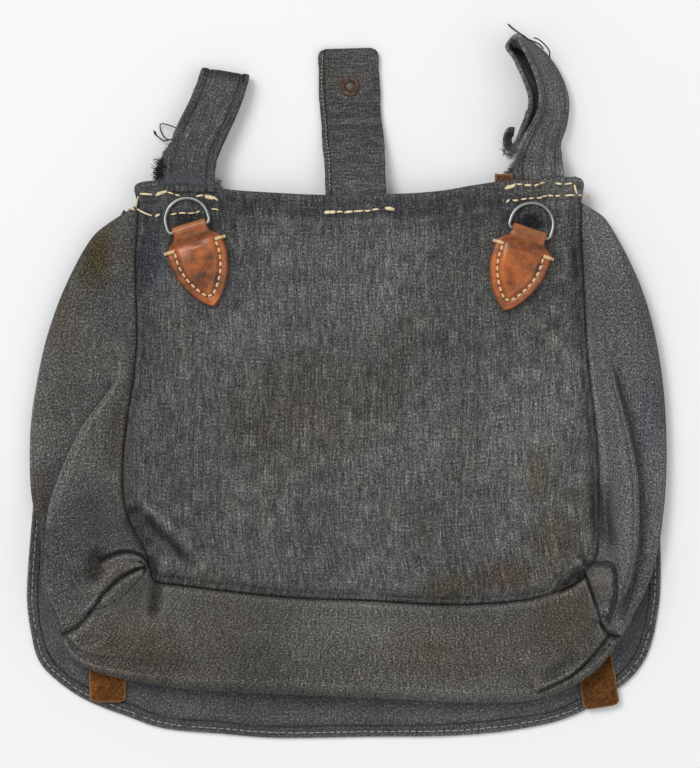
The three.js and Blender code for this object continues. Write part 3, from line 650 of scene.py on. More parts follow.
class Shader:
    """One material's node tree."""

    def __init__(self, name: str) -> None:
        """Starts a material with only its output."""
        self.material = bpy.data.materials.new(name)
        self.material.use_nodes = True
        self.tree = self.material.node_tree
        self.tree.nodes.clear()
        self.output = self.tree.nodes.new("ShaderNodeOutputMaterial")

    def node(
        self,
        kind: str,
        settings: dict[str, Any] | None = None,
        inputs: dict[int | str, Any] | None = None,
        result: int | str = 0,
    ) -> Field:
        """Makes one node.

        Args:
            kind: the node's type, without its ShaderNode prefix.
            settings: its own settings, set first. stops holds a ramp's positions and colours.
            inputs: values or fields for its sockets, by name or place.
            result: which output comes back.

        Returns:
            That output as a field.
        """
        made = self.tree.nodes.new("ShaderNode" + kind)
        for name, value in (settings or {}).items():
            if name == "stops":
                self._set_stops(made.color_ramp, value)
            else:
                setattr(made, name, value)
        for name, value in (inputs or {}).items():
            socket = made.inputs[name]
            if isinstance(value, Field):
                self.tree.links.new(value.socket, socket)
            else:
                socket.default_value = value
        return Field(self, made.outputs[result])

    @staticmethod
    def _set_stops(ramp: Any, stops: Sequence[tuple[float, Any]]) -> None:
        """Gives a colour ramp its stops."""
        while len(ramp.elements) < len(stops):
            ramp.elements.new(0.5)
        for element, (position, colour) in zip(ramp.elements, stops):
            element.position = position
            element.color = colour

    def mark(self, name: str, vector: bool = False) -> Field:
        """A value that the mesh carries at each point."""
        return self.node("Attribute", {"attribute_name": name}, result="Vector" if vector else "Fac")

    def place(self) -> Field:
        """The point's own place on the piece, in metres."""
        return self.node("TexCoord", result="Object")

    def mix(self, factor: Any, first: Any, second: Any, blend: str = "MIX") -> Field:
        """Mixes two colours.

        Args:
            factor: 0 for the first and 1 for the second.
            first: a colour or field.
            second: a colour or field.
            blend: how the second goes over the first.

        Returns:
            The mixed colour.
        """
        settings = {"data_type": "RGBA", "blend_type": blend, "clamp_factor": True}
        return self.node("Mix", settings, {0: factor, 6: first, 7: second}, result=2)

    def grain(self, at: Field, scale: float, detail: float = 2.0, roughness: float = 0.5) -> Field:
        """Noise from 0 to 1 with about scale bumps to the metre."""
        inputs = {"Vector": at, "Scale": scale, "Detail": detail, "Roughness": roughness}
        return self.node("TexNoise", {"noise_dimensions": "3D"}, inputs, result="Fac")

    def ramp(self, value: Field, start: float, end: float) -> Field:
        """Takes a value from start and end to 0 and 1, smoothly."""
        settings = {"interpolation_type": "SMOOTHSTEP"}
        return self.node("MapRange", settings, {0: value, 1: start, 2: end, 3: 0.0, 4: 1.0})

    def shades(self, value: Field, tone: Colour, levels: Sequence[Point], brightest: float) -> Field:
        """Darker and lighter shades of one colour.

        Args:
            value: what chooses the shade.
            tone: the colour on screen.
            levels: pairs of a value and of how bright its shade is against the tone.
            brightest: what no channel goes above.

        Returns:
            The colour.
        """
        stops = [(at, linear(*(min(c * level, brightest) for c in tone))) for at, level in levels]
        return self.node("ValToRGB", {"stops": stops}, {0: value}, result="Color")

    def tinted(self, amount: Field, colour: Field, tone: Colour) -> Field:
        """A colour stained with another by some amount."""
        return self.mix(amount, colour, self.mix(1.0, colour, linear(*tone), "MULTIPLY"))

    def bump(self, height: Field, strength: float, distance: float) -> Field:
        """A normal bent by a height in the given distance's units."""
        return self.node("Bump", None, {"Height": height, "Strength": strength, "Distance": distance})

    def surface(self, **sockets: Any) -> bpy.types.Material:
        """Ends the material with one surface shader.

        Args:
            **sockets: values or fields for its sockets, with _ for a space in each name.

        Returns:
            The finished material.
        """
        inputs = {name.replace("_", " "): value for name, value in sockets.items()}
        shown = self.node("BsdfPrincipled", None, inputs)
        self.tree.links.new(shown.socket, self.output.inputs["Surface"])
        return self.material


class Field:
    """A shader socket that Python's operators combine with numbers and other sockets."""

    def __init__(self, shader: Shader, socket: bpy.types.NodeSocket) -> None:
        """Wraps one output socket."""
        self.shader = shader
        self.socket = socket

    def _math(self, operation: str, *values: Any) -> Field:
        """One Math node."""
        return self.shader.node("Math", {"operation": operation}, dict(enumerate(values)))

    def __add__(self, other: Field | float) -> Field:
        """The sum."""
        return self._math("ADD", self, other)

    __radd__ = __add__

    def __sub__(self, other: Field | float) -> Field:
        """This less the other."""
        return self._math("SUBTRACT", self, other)

    def __rsub__(self, other: float) -> Field:
        """The other less this."""
        return self._math("SUBTRACT", other, self)

    def __mul__(self, other: Field | float) -> Field:
        """The product."""
        return self._math("MULTIPLY", self, other)

    __rmul__ = __mul__

    def sine(self) -> Field:
        """Its sine."""
        return self._math("SINE", self)

    def clamped(self) -> Field:
        """Kept from 0 to 1."""
        return self.shader.node("Clamp", None, {0: self})

    def _vector(self, operation: str, x: float, y: float, z: float, result: int | str = 0) -> Field:
        """One Vector Math node, whose second vector is set."""
        return self.shader.node("VectorMath", {"operation": operation}, {0: self, 1: (x, y, z)}, result)

    def stretched(self, x: float, y: float, z: float = 1.0) -> Field:
        """This vector with each of its directions scaled."""
        return self._vector("MULTIPLY", x, y, z)

    def moved(self, x: float, y: float, z: float = 0.0) -> Field:
        """This vector with an offset added."""
        return self._vector("ADD", x, y, z)

    def distance_to(self, x: float, y: float, z: float = 0.0) -> Field:
        """How far this place lies from another."""
        return self._vector("DISTANCE", x, y, z, "Value")

    def parts(self) -> tuple[Field, Field]:
        """This vector's first two numbers."""
        split = self.shader.node("SeparateXYZ", None, {0: self})
        return split, Field(self.shader, split.socket.node.outputs[1])


# Finishes


@dataclass(frozen=True)
class Stain:
    """A soft patch of another colour.

    Attributes:
        at: its middle on the bag.
        size: how far it reaches, across and along.
        strength: how strongly it colours the cloth.
        tint: what it multiplies the cloth's colour with.
    """

    at: Point
    size: Point
    strength: float
    tint: Colour = (230, 212, 176)


BLUISH = (198, 204, 230)
UNFADED = (120, 122, 130)


@dataclass(frozen=True)
class WoolCanvas:
    """Old field-grey wool canvas with a salt-and-pepper weave, slubs and stains.

    Attributes:
        name: the material's name.
        tone: its middle colour on screen.
        contrast: how much single threads differ from the middle.
        streaks: how strongly long threads show, along the warp and along the weft.
        brown: how much of the cloth has gone brown.
        specks: share of the cloth that light slubs cover.
        stains: its patches.
        pitch: from one thread of its weave to the next.
    """

    name: str
    tone: Colour = (80, 80, 79)
    contrast: float = 1.0
    streaks: tuple[float, float] = (1.0, 0.45)
    brown: float = 0.25
    specks: float = 0.06
    stains: tuple[Stain, ...] = ()
    pitch: float = 0.62

    def build(self) -> bpy.types.Material:
        """Makes the material."""
        s = Shader(self.name)
        weave = s.mark("weave", vector=True)
        place = s.place()
        warp, weft = self.streaks
        pepper = s.grain(weave.stretched(1.0, 0.7), 1180, 2.0, 0.75)
        warp_run = s.grain(weave.stretched(1.0, 0.12), 960, 1.0)
        warp_wide = s.grain(weave.stretched(1.0, 0.04), 330, 2.0)
        weft_run = s.grain(weave.moved(0.3, 0.1).stretched(0.12, 1.0), 960, 1.0)
        patches = s.grain(place, 14, 3.0, 0.6)
        broad = s.grain(place.moved(0.7, 0.2), 5, 2.0)
        wear = s.mark("wear")
        crevice = s.mark("crevice")
        value = (
            (pepper - 0.5) * (2.5 * self.contrast)
            + (warp_run - 0.5) * (1.05 * warp)
            + (warp_wide - 0.5) * (0.5 * warp)
            + (weft_run - 0.5) * (1.05 * weft)
            + (patches - 0.5) * 0.55
            + (broad - 0.5) * 0.45
            + wear * 0.3
        )
        shade = s.node("MapRange", None, {0: value, 1: -1.0, 2: 1.0, 3: 0.0, 4: 1.0})
        levels = ((0.0, 0.34), (0.3, 0.6), (0.5, 0.93), (0.7, 1.42), (1.0, 2.3))
        colour = s.shades(shade, self.tone, levels, 215)
        tawny = (s.ramp(s.grain(place.moved(0.1, 0.9), 22, 4.0, 0.65), 0.42, 0.72) * self.brown).clamped()
        colour = s.tinted(tawny, colour, (222, 204, 170))
        for stain in self.stains:
            x, y = PLAN.place(stain.at) * MM
            gap = place.moved(-x, -y).stretched(1 / (stain.size[0] * MM), 1 / (stain.size[1] * MM), 0)
            ragged = gap.distance_to(0, 0) + (patches - 0.5) * 1.1
            mask = (1 - s.ramp(ragged, 0.25, 1.05)) * stain.strength
            colour = s.tinted(mask, colour, stain.tint)
        fleck = s.grain(weave.moved(0.5, 0.2).stretched(1.0, 0.45), 900, 0.0)
        edge = 0.8 - self.specks
        colour = s.mix(s.ramp(fleck, edge, edge + 0.1) * 0.5, colour, linear(150, 149, 143))
        # Painted shade: near black where the mesh marks hollows, seams and grooves.
        colour = s.mix((crevice * 0.9).clamped(), colour, linear(15, 15, 16))
        u, v = weave.parts()
        pitch = 2 * math.pi / (self.pitch * MM)
        threads = (u * pitch).sine() * (v * pitch).sine()
        relief = threads * 0.35 + (pepper - 0.5) * 1.8 + (warp_run - 0.5) * warp + (weft_run - 0.5) * weft
        normal = s.bump(relief, 0.6, 0.25 * MM)
        rough = 0.9 + (pepper - 0.5) * 0.12
        return s.surface(Base_Color=colour, Roughness=rough, Normal=normal, Specular_IOR_Level=0.2)


@dataclass(frozen=True)
class SaddleLeather:
    """Polished brown vegetable-tanned leather with dark pores, rubbed edges and handling marks.

    Attributes:
        name: the material's name.
        tone: its middle colour on screen.
        shine: how rough its polish is, from 0 for a mirror.
    """

    name: str
    tone: Colour = (150, 90, 56)
    shine: float = 0.32

    def build(self) -> bpy.types.Material:
        """Makes the material."""
        s = Shader(self.name)
        place = s.place()
        crevice = s.mark("crevice")
        wear = s.mark("wear")
        cloud = s.grain(place, 95, 3.0, 0.6)
        drift = s.grain(place.moved(0.4, 0.3), 38, 2.0)
        grain = s.grain(place, 1100, 3.0, 0.6)
        pores = s.node("TexVoronoi", {"feature": "F1"}, {"Vector": place, "Scale": 1500.0}, result="Distance")
        cracks = s.grain(place.stretched(0.5, 1.5), 420, 3.0, 0.75)
        shade = (cloud - 0.5) * 2.5 + (drift - 0.5) * 1.6 + (grain - 0.5) * 0.7 + 0.5
        colour = s.shades(shade, self.tone, ((0.0, 0.56), (0.5, 1.0), (1.0, 1.3)), 230)
        # grime in the cracks, and painted shade where the mesh marks holes, folds and hollows
        dirt_and_shade = (s.ramp(cracks, 0.6, 0.72) * 0.45 + crevice * 0.9).clamped()
        colour = s.mix(dirt_and_shade, colour, linear(44, 24, 15))
        colour = s.mix((wear * 0.3).clamped(), colour, linear(200, 140, 92))
        relief = grain * 0.6 + (1 - s.ramp(pores, 0.0, 0.35)) * -0.5 + cracks * 0.9
        normal = s.bump(relief, 0.4, 0.16 * MM)
        rough = (self.shine + (cloud - 0.5) * 0.18 + dirt_and_shade * 0.3 + (grain - 0.5) * 0.12).clamped()
        return s.surface(
            Base_Color=colour, Roughness=rough, Normal=normal, Specular_IOR_Level=0.42, Coat_Weight=0.22,
            Coat_Roughness=0.24,
        )


@dataclass(frozen=True)
class Suede:
    """Brown split leather with its nap raised.

    Attributes:
        name: the material's name.
        tone: its middle colour on screen.
    """

    name: str
    tone: Colour = (98, 62, 30)

    def build(self) -> bpy.types.Material:
        """Makes the material."""
        s = Shader(self.name)
        place = s.place()
        wear = s.mark("wear")
        crevice = s.mark("crevice")
        nap = s.grain(place, 1400, 3.0, 0.7)
        tufts = s.grain(place, 420, 3.0, 0.7)
        cloud = s.grain(place, 110, 2.0)
        shade = (nap - 0.5) * 1.3 + (tufts - 0.5) * 1.1 + (cloud - 0.5) * 0.8 + 0.5
        colour = s.shades(shade, self.tone, ((0.0, 0.45), (0.5, 1.0), (1.0, 1.6)), 220)
        # painted shade where the mesh marks it, such as where a strap runs under the bag
        colour = s.mix((crevice * 0.7).clamped(), colour, linear(30, 18, 10))
        colour = s.mix((wear * 0.5).clamped(), colour, linear(190, 150, 105))
        normal = s.bump(nap + tufts, 0.6, 0.25 * MM)
        return s.surface(Base_Color=colour, Roughness=0.95, Normal=normal, Specular_IOR_Level=0.1)


@dataclass(frozen=True)
class OldSteel:
    """Bare steel wire, dulled, with fine scratches and brown spots.

    Attributes:
        name: the material's name.
        rust: how much of it has rusted, from 0 to 1.
        tone: the bare metal on screen.
    """

    name: str
    rust: float = 0.12
    tone: Colour = (176, 178, 178)

    def build(self) -> bpy.types.Material:
        """Makes the material."""
        s = Shader(self.name)
        place = s.place()
        spots = s.grain(place, 330, 4.0, 0.7)
        fine = s.grain(place, 1900, 2.0, 0.7)
        cloud = s.grain(place, 120, 2.0)
        wear = s.mark("wear")
        edge = 0.78 - 0.5 * self.rust
        rusted = s.ramp(spots, edge - 0.08, edge + 0.05) * (1 - wear)
        dull = s.mix(cloud, linear(*(c * 0.62 for c in self.tone)), linear(*self.tone))
        rust = s.mix(s.ramp(spots + (fine - 0.5) * 0.6, 0.38, 0.66), linear(56, 44, 36), linear(124, 92, 68))
        colour = s.mix(rusted, dull, rust)
        # painted shade, near black, where the mesh marks a groove
        colour = s.mix((s.mark("crevice") * 0.85).clamped(), colour, linear(20, 17, 15))
        rough = (0.36 + (fine - 0.5) * 0.25 + rusted * 0.5).clamped()
        metal = 1 - rusted * 0.9
        normal = s.bump(fine * 0.4 + rusted * fine, 0.45, 0.12 * MM)
        return s.surface(Base_Color=colour, Roughness=rough, Metallic=metal, Normal=normal)


@dataclass(frozen=True)
class Thread:
    """Twisted thread.

    Attributes:
        name: the material's name.
        tone: its colour on screen.
        twist: length of one turn of its ply.
    """

    name: str
    tone: Colour = (226, 201, 158)
    twist: float = 1.1

    def build(self) -> bpy.types.Material:
        """Makes the material."""
        s = Shader(self.name)
        weave = s.mark("weave", vector=True)
        place = s.place()
        u, v = weave.parts()
        ply = (u * (2 * math.pi * 2 / MM) + v * (2 * math.pi / (self.twist * MM))).sine()
        soil = s.grain(place, 260, 3.0, 0.7)
        fuzz = s.grain(place, 2600, 2.0)
        # the ply is painted into the colour too, as painted shade between its strands
        shade = 0.62 + (soil - 0.5) * 1.1 + ply * 0.14 + (fuzz - 0.5) * 0.4
        colour = s.shades(shade, self.tone, ((0.0, 0.5), (0.6, 1.0), (1.0, 1.1)), 246)
        normal = s.bump(ply + fuzz, 0.6, 0.1 * MM)
        return s.surface(Base_Color=colour, Roughness=0.78, Normal=normal, Specular_IOR_Level=0.25)


@dataclass(frozen=True)
class Table:
    """A plain pale table top."""

    name: str = "pale_table"

    def build(self) -> bpy.types.Material:
        """Makes the material."""
        s = Shader(self.name)
        cloud = s.grain(s.place(), 1.5, 2.0)
        colour = s.mix(cloud, linear(243, 244, 245), linear(246, 247, 248))
        return s.surface(Base_Color=colour, Roughness=0.75, Specular_IOR_Level=0.1)


# The sewn body


@dataclass(frozen=True)
class Section:
    """One section of a gusset, from the back panel's seam to its outermost point.

    Attributes:
        seam: where it leaves the back panel, as shares across and down.
        rim: its outermost point, as shares.
        fold: where the upper layer of its fold ends, as a share of the way from seam to rim.
        heights: at the seam, just outside it, on the upper layer and on the lower one, as shares of
            the fold rise.
        rim_height: share of the hem's height.
        lap: how far the upper layer hangs over the lower one.
        bow: how far the section swings to its left, in millimetres, a third and two thirds out.
    """

    seam: Point
    rim: Point
    fold: float
    heights: tuple[float, float, float, float]
    rim_height: float
    lap: float = 0.0
    bow: Point = (0.0, 0.0)

    def numbers(self) -> list[float]:
        """The section as one row of numbers."""
        return [*self.seam, *self.rim, self.fold, *self.heights, self.rim_height, self.lap, *self.bow]


LEFT_SECTIONS = (
    Section((-0.658, 0.046), (-0.703, 0.062), 0.5, (0.0, -0.02, -0.06, -0.2), 0.5),
    Section((-0.657, 0.076), (-0.755, 0.083), 0.5, (0.02, 0.0, 0.04, -0.12), 0.5),
    Section((-0.661, 0.107), (-0.8, 0.107), 0.5, (0.04, 0.02, 0.12, 0.0), 0.5),
    Section((-0.665, 0.155), (-0.848, 0.154), 0.5, (0.05, 0.05, 0.2, 0.06), 0.5),
    Section((-0.663, 0.228), (-0.903, 0.226), 0.4, (0.07, 0.07, 0.24, 0.12), 0.48),
    Section((-0.661, 0.305), (-0.947, 0.305), 0.28, (0.1, 0.1, 0.26, 0.18), 0.46),
    Section((-0.671, 0.382), (-0.976, 0.386), 0.2, (0.12, 0.16, 0.38, 0.1), 0.44, 1.5),
    Section((-0.693, 0.468), (-0.995, 0.468), 0.445, (0.15, 0.2, 0.5, -0.06), 0.4, 4.0),
    Section((-0.705, 0.555), (-0.998, 0.555), 0.65, (0.18, 0.24, 0.6, -0.16), 0.38, 5.0),
    Section((-0.701, 0.612), (-0.989, 0.618), 0.8, (0.22, 0.3, 0.66, -0.16), 0.4, 4.0),
    Section((-0.68, 0.656), (-0.964, 0.681), 0.93, (0.28, 0.38, 0.7, 0.1), 0.46, 1.0),
    Section((-0.64, 0.701), (-0.959, 0.775), 0.94, (0.4, 0.5, 0.8, 0.3), 0.52, 0.0),
    Section((-0.621, 0.739), (-0.903, 0.873), 0.92, (0.55, 0.6, 0.8, 0.3), 0.56, 0.0, (5.5, -1.0)),
)
RIGHT_CORNER = Section(
    (0.74, 0.75), (0.859, 0.875), 0.8, (0.56, 0.64, 0.98, 0.3), 0.48, 0.0, (-2.0, -8.0)
)
BASE_SECTIONS = (
    LEFT_SECTIONS[-1],
    Section((-0.602, 0.768), (-0.853, 0.921), 0.84, (0.34, 0.44, 0.8, 0.3), 0.56, 0.0, (2.0, 0.0)),
    Section((-0.533, 0.775), (-0.737, 0.952), 0.74, (0.2, 0.32, 0.74, 0.34), 0.56),
    Section((-0.345, 0.789), (-0.502, 0.975), 0.64, (0.15, 0.26, 0.66, 0.36), 0.56),
    Section((-0.157, 0.8), (-0.219, 0.985), 0.6, (0.14, 0.24, 0.62, 0.36), 0.56),
    Section((0.063, 0.805), (0.063, 0.992), 0.6, (0.14, 0.24, 0.62, 0.36), 0.56),
    Section((0.313, 0.813), (0.345, 1.0), 0.6, (0.14, 0.24, 0.64, 0.36), 0.56),
    Section((0.533, 0.805), (0.564, 0.997), 0.64, (0.17, 0.28, 0.7, 0.34), 0.56),
    Section((0.652, 0.787), (0.705, 0.969), 0.7, (0.28, 0.38, 0.8, 0.3), 0.56),
    Section((0.712, 0.77), (0.793, 0.929), 0.76, (0.42, 0.5, 0.9, 0.3), 0.52, 0.0, (-1.0, -3.0)),
    RIGHT_CORNER,
)
RIGHT_SECTIONS = (
    Section((0.73, 0.042), (0.768, 0.055), 0.5, (0.0, -0.02, -0.06, -0.2), 0.5),
    Section((0.73, 0.07), (0.802, 0.07), 0.5, (0.02, 0.0, 0.06, -0.12), 0.5),
    Section((0.73, 0.098), (0.834, 0.098), 0.5, (0.04, 0.02, 0.16, 0.0), 0.5),
    Section((0.735, 0.155), (0.884, 0.155), 0.5, (0.05, 0.04, 0.26, 0.08), 0.5),
    Section((0.74, 0.228), (0.933, 0.228), 0.42, (0.07, 0.05, 0.34, 0.16), 0.48),
    Section((0.746, 0.305), (0.967, 0.309), 0.3, (0.1, 0.06, 0.46, 0.16), 0.46, 0.6),
    Section((0.759, 0.392), (0.989, 0.397), 0.36, (0.12, 0.04, 0.6, 0.08), 0.44, 3.0),
    Section((0.774, 0.468), (0.998, 0.482), 0.46, (0.14, 0.02, 0.7, 0.04), 0.44, 4.0),
    Section((0.784, 0.551), (0.998, 0.566), 0.56, (0.16, 0.0, 0.78, 0.0), 0.42, 5.0),
    Section((0.786, 0.622), (0.989, 0.635), 0.61, (0.18, 0.0, 0.82, -0.02), 0.42, 5.0),
    Section((0.785, 0.685), (0.972, 0.708), 0.64, (0.22, 0.08, 0.88, -0.04), 0.42, 4.5),
    Section((0.774, 0.724), (0.937, 0.781), 0.7, (0.36, 0.36, 0.92, 0.05), 0.44, 3.0, (0.0, -4.0)),
    RIGHT_CORNER,
)
TOP_EDGE = (
    (-0.675, 0.002), (-0.54, -0.002), (-0.4, 0.015), (-0.26, 0.022), (-0.08, 0.027), (0.12, 0.026),
    (0.28, 0.02), (0.4, 0.008), (0.5, 0.0), (0.62, -0.004), (0.742, -0.008),
)

# The dents, tucks and seams that are pressed into the body
LEFT_CORNER_SEAM = (
    (-161.0, -255.4), (-150.2, -248.6), (-140.6, -237.4), (-137.8, -232.7), (-127.1, -222.6),
    (-117.0, -217.6), (-112.6, -217.4),
)
RIGHT_CORNER_SEAM = ((131.6, -216.6), (133.8, -223.5), (137.6, -234.0), (143.7, -252.0), (153.6, -256.6))
CREASES = (
    Crease(LEFT_CORNER_SEAM, rise=-2.4, width=1.0, fade=2.0, dark=1.0),
    Crease(
        ((-141.0, -215.5), (-133.9, -211.0), (-124.3, -208.4), (-116.6, -210.0), (-112.4, -214.6),
         (-112.2, -219.0)),
        rise=-2.4, width=1.0, step=-3.6, spread=0.9, reach=8, fade=4.0, dark=1.0,
    ),
    Crease(
        ((-116.0, -207.6), (-111.0, -211.6), (-109.4, -217.4), (-111.4, -221.4)),
        rise=1.6, width=1.4, fade=3.0,
    ),
    Crease(
        ((-117.4, -213.0), (-114.4, -215.0), (-113.4, -218.2), (-115.0, -220.6)),
        rise=-1.6, width=0.8, fade=1.0, dark=0.9,
    ),
    Crease(
        ((-117.0, -214.6), (-127.5, -215.8), (-136.5, -222.5), (-146.0, -231.0)),
        rise=3.0, width=4.4, fade=7.0,
    ),
    Crease(
        ((-138.0, -203.0), (-141.5, -216.0), (-141.5, -232.0)),
        rise=-3.8, width=5.0, fade=10.0, dark=0.42,
    ),
    Crease(((-150.0, -214.0), (-152.5, -228.0), (-150.0, -240.0)), rise=-1.4, width=4.0, fade=8.0, dark=0.12),
    Crease(
        ((-106.6, -219.0), (-107.2, -229.0), (-108.8, -240.0), (-112.0, -247.0)),
        rise=-3.4, width=3.6, fade=8.0, dark=0.6,
    ),
    Crease(((-122.5, -184.0), (-116.5, -198.0), (-108.5, -214.0)), rise=-3.6, width=6.4, fade=8.0, dark=0.6),
    Crease(
        ((-124.0, -180.5), (-108.6, -193.6), (-92.2, -209.8), (-84.0, -219.0)),
        rise=2.8, width=4.0, fade=16.0,
    ),
    Crease(((-104.5, -206.0), (-104.0, -216.0), (-98.0, -222.0)), rise=-1.6, width=4.0, fade=8.0, dark=0.3),
    Crease(RIGHT_CORNER_SEAM, rise=-2.4, width=1.0, fade=2.0, dark=1.0),
    Crease(
        ((115.9, -232.3), (118.6, -225.0), (124.4, -219.2), (131.8, -215.2)),
        rise=-2.2, width=1.0, step=-3.0, spread=0.9, reach=6, fade=2.5, dark=1.0,
    ),
    Crease(((117.5, -231.5), (127.0, -226.6), (134.4, -220.8)), rise=-1.8, width=0.9, fade=2.0, dark=0.95),
    Crease(((119.0, -228.4), (126.0, -222.4), (132.2, -218.4)), rise=1.6, width=2.6, fade=4.0),
    Crease(
        ((133.0, -215.6), (141.0, -214.0), (148.6, -215.2), (150.2, -226.0), (149.4, -238.0),
         (145.0, -250.0)),
        rise=-2.2, width=1.3, step=-4.2, spread=0.9, reach=8, fade=3.0, dark=0.95,
    ),
    Crease(((141.5, -223.0), (143.4, -232.0), (144.2, -240.0)), rise=1.4, width=3.6, fade=5.0),
    Crease(
        ((142.0, -165.0), (144.6, -184.0), (147.2, -203.0), (147.8, -214.5)),
        rise=-3.8, width=3.4, fade=16.0, dark=0.75,
    ),
    Crease(
        ((147.0, -253.0), (138.0, -265.5), (124.0, -278.5), (104.0, -287.5)),
        rise=-1.8, width=1.2, step=-3.4, spread=1.0, reach=7, fade=5.0, dark=0.9,
    ),
    Crease(
        (
            (149.0, -248.0), (155.0, -239.0), (159.2, -224.4), (163.2, -205.0), (164.3, -188.0),
            (164.0, -170.0),
            (160.9, -146.0), (155.3, -123.2), (147.5, -98.0),
        ),
        rise=-1.6, width=1.3, step=3.0, spread=1.0, reach=8, fade=14.0, dark=0.8,
    ),
    Crease(((130.0, -262.0), (118.0, -274.0), (106.0, -282.0)), rise=-1.8, width=3.6, fade=8.0, dark=0.35),
    Crease(((134.0, -236.0), (128.0, -252.0), (118.0, -264.0)), rise=1.8, width=6.0, fade=14.0),
    Crease(((-60.0, -14.0), (-60.4, -32.0), (-63.0, -48.0)), rise=-1.1, width=3.4, fade=10.0, dark=0.3),
    Crease(((-115.0, -22.0), (-112.0, -36.0), (-114.0, -62.0)), rise=-1.2, width=4.5, fade=12.0, dark=0.22),
    Crease(((-105.4, -26.0), (-104.6, -42.0), (-107.0, -66.0)), rise=-1.5, width=3.6, fade=12.0, dark=0.34),
    Crease(((-99.0, -30.0), (-98.0, -44.0)), rise=0.8, width=3.0, fade=6.0),
    Crease(((120.4, -30.0), (121.6, -44.0), (121.0, -62.0)), rise=-1.2, width=3.2, fade=10.0, dark=0.25),
    Crease(((130.5, -24.0), (131.4, -40.0), (134.4, -56.0)), rise=-1.0, width=3.0, fade=8.0, dark=0.25),
    Crease(((-52.0, -8.0), (-48.0, -26.0)), rise=-0.7, width=3.0, fade=8.0, dark=0.15),
    Crease(((-93.0, -190.0), (-89.5, -212.0)), rise=-0.9, width=3.5, fade=8.0, dark=0.18),
    Crease(((-84.0, -206.0), (-79.5, -220.0)), rise=-1.0, width=2.6, fade=5.0, dark=0.3),
)


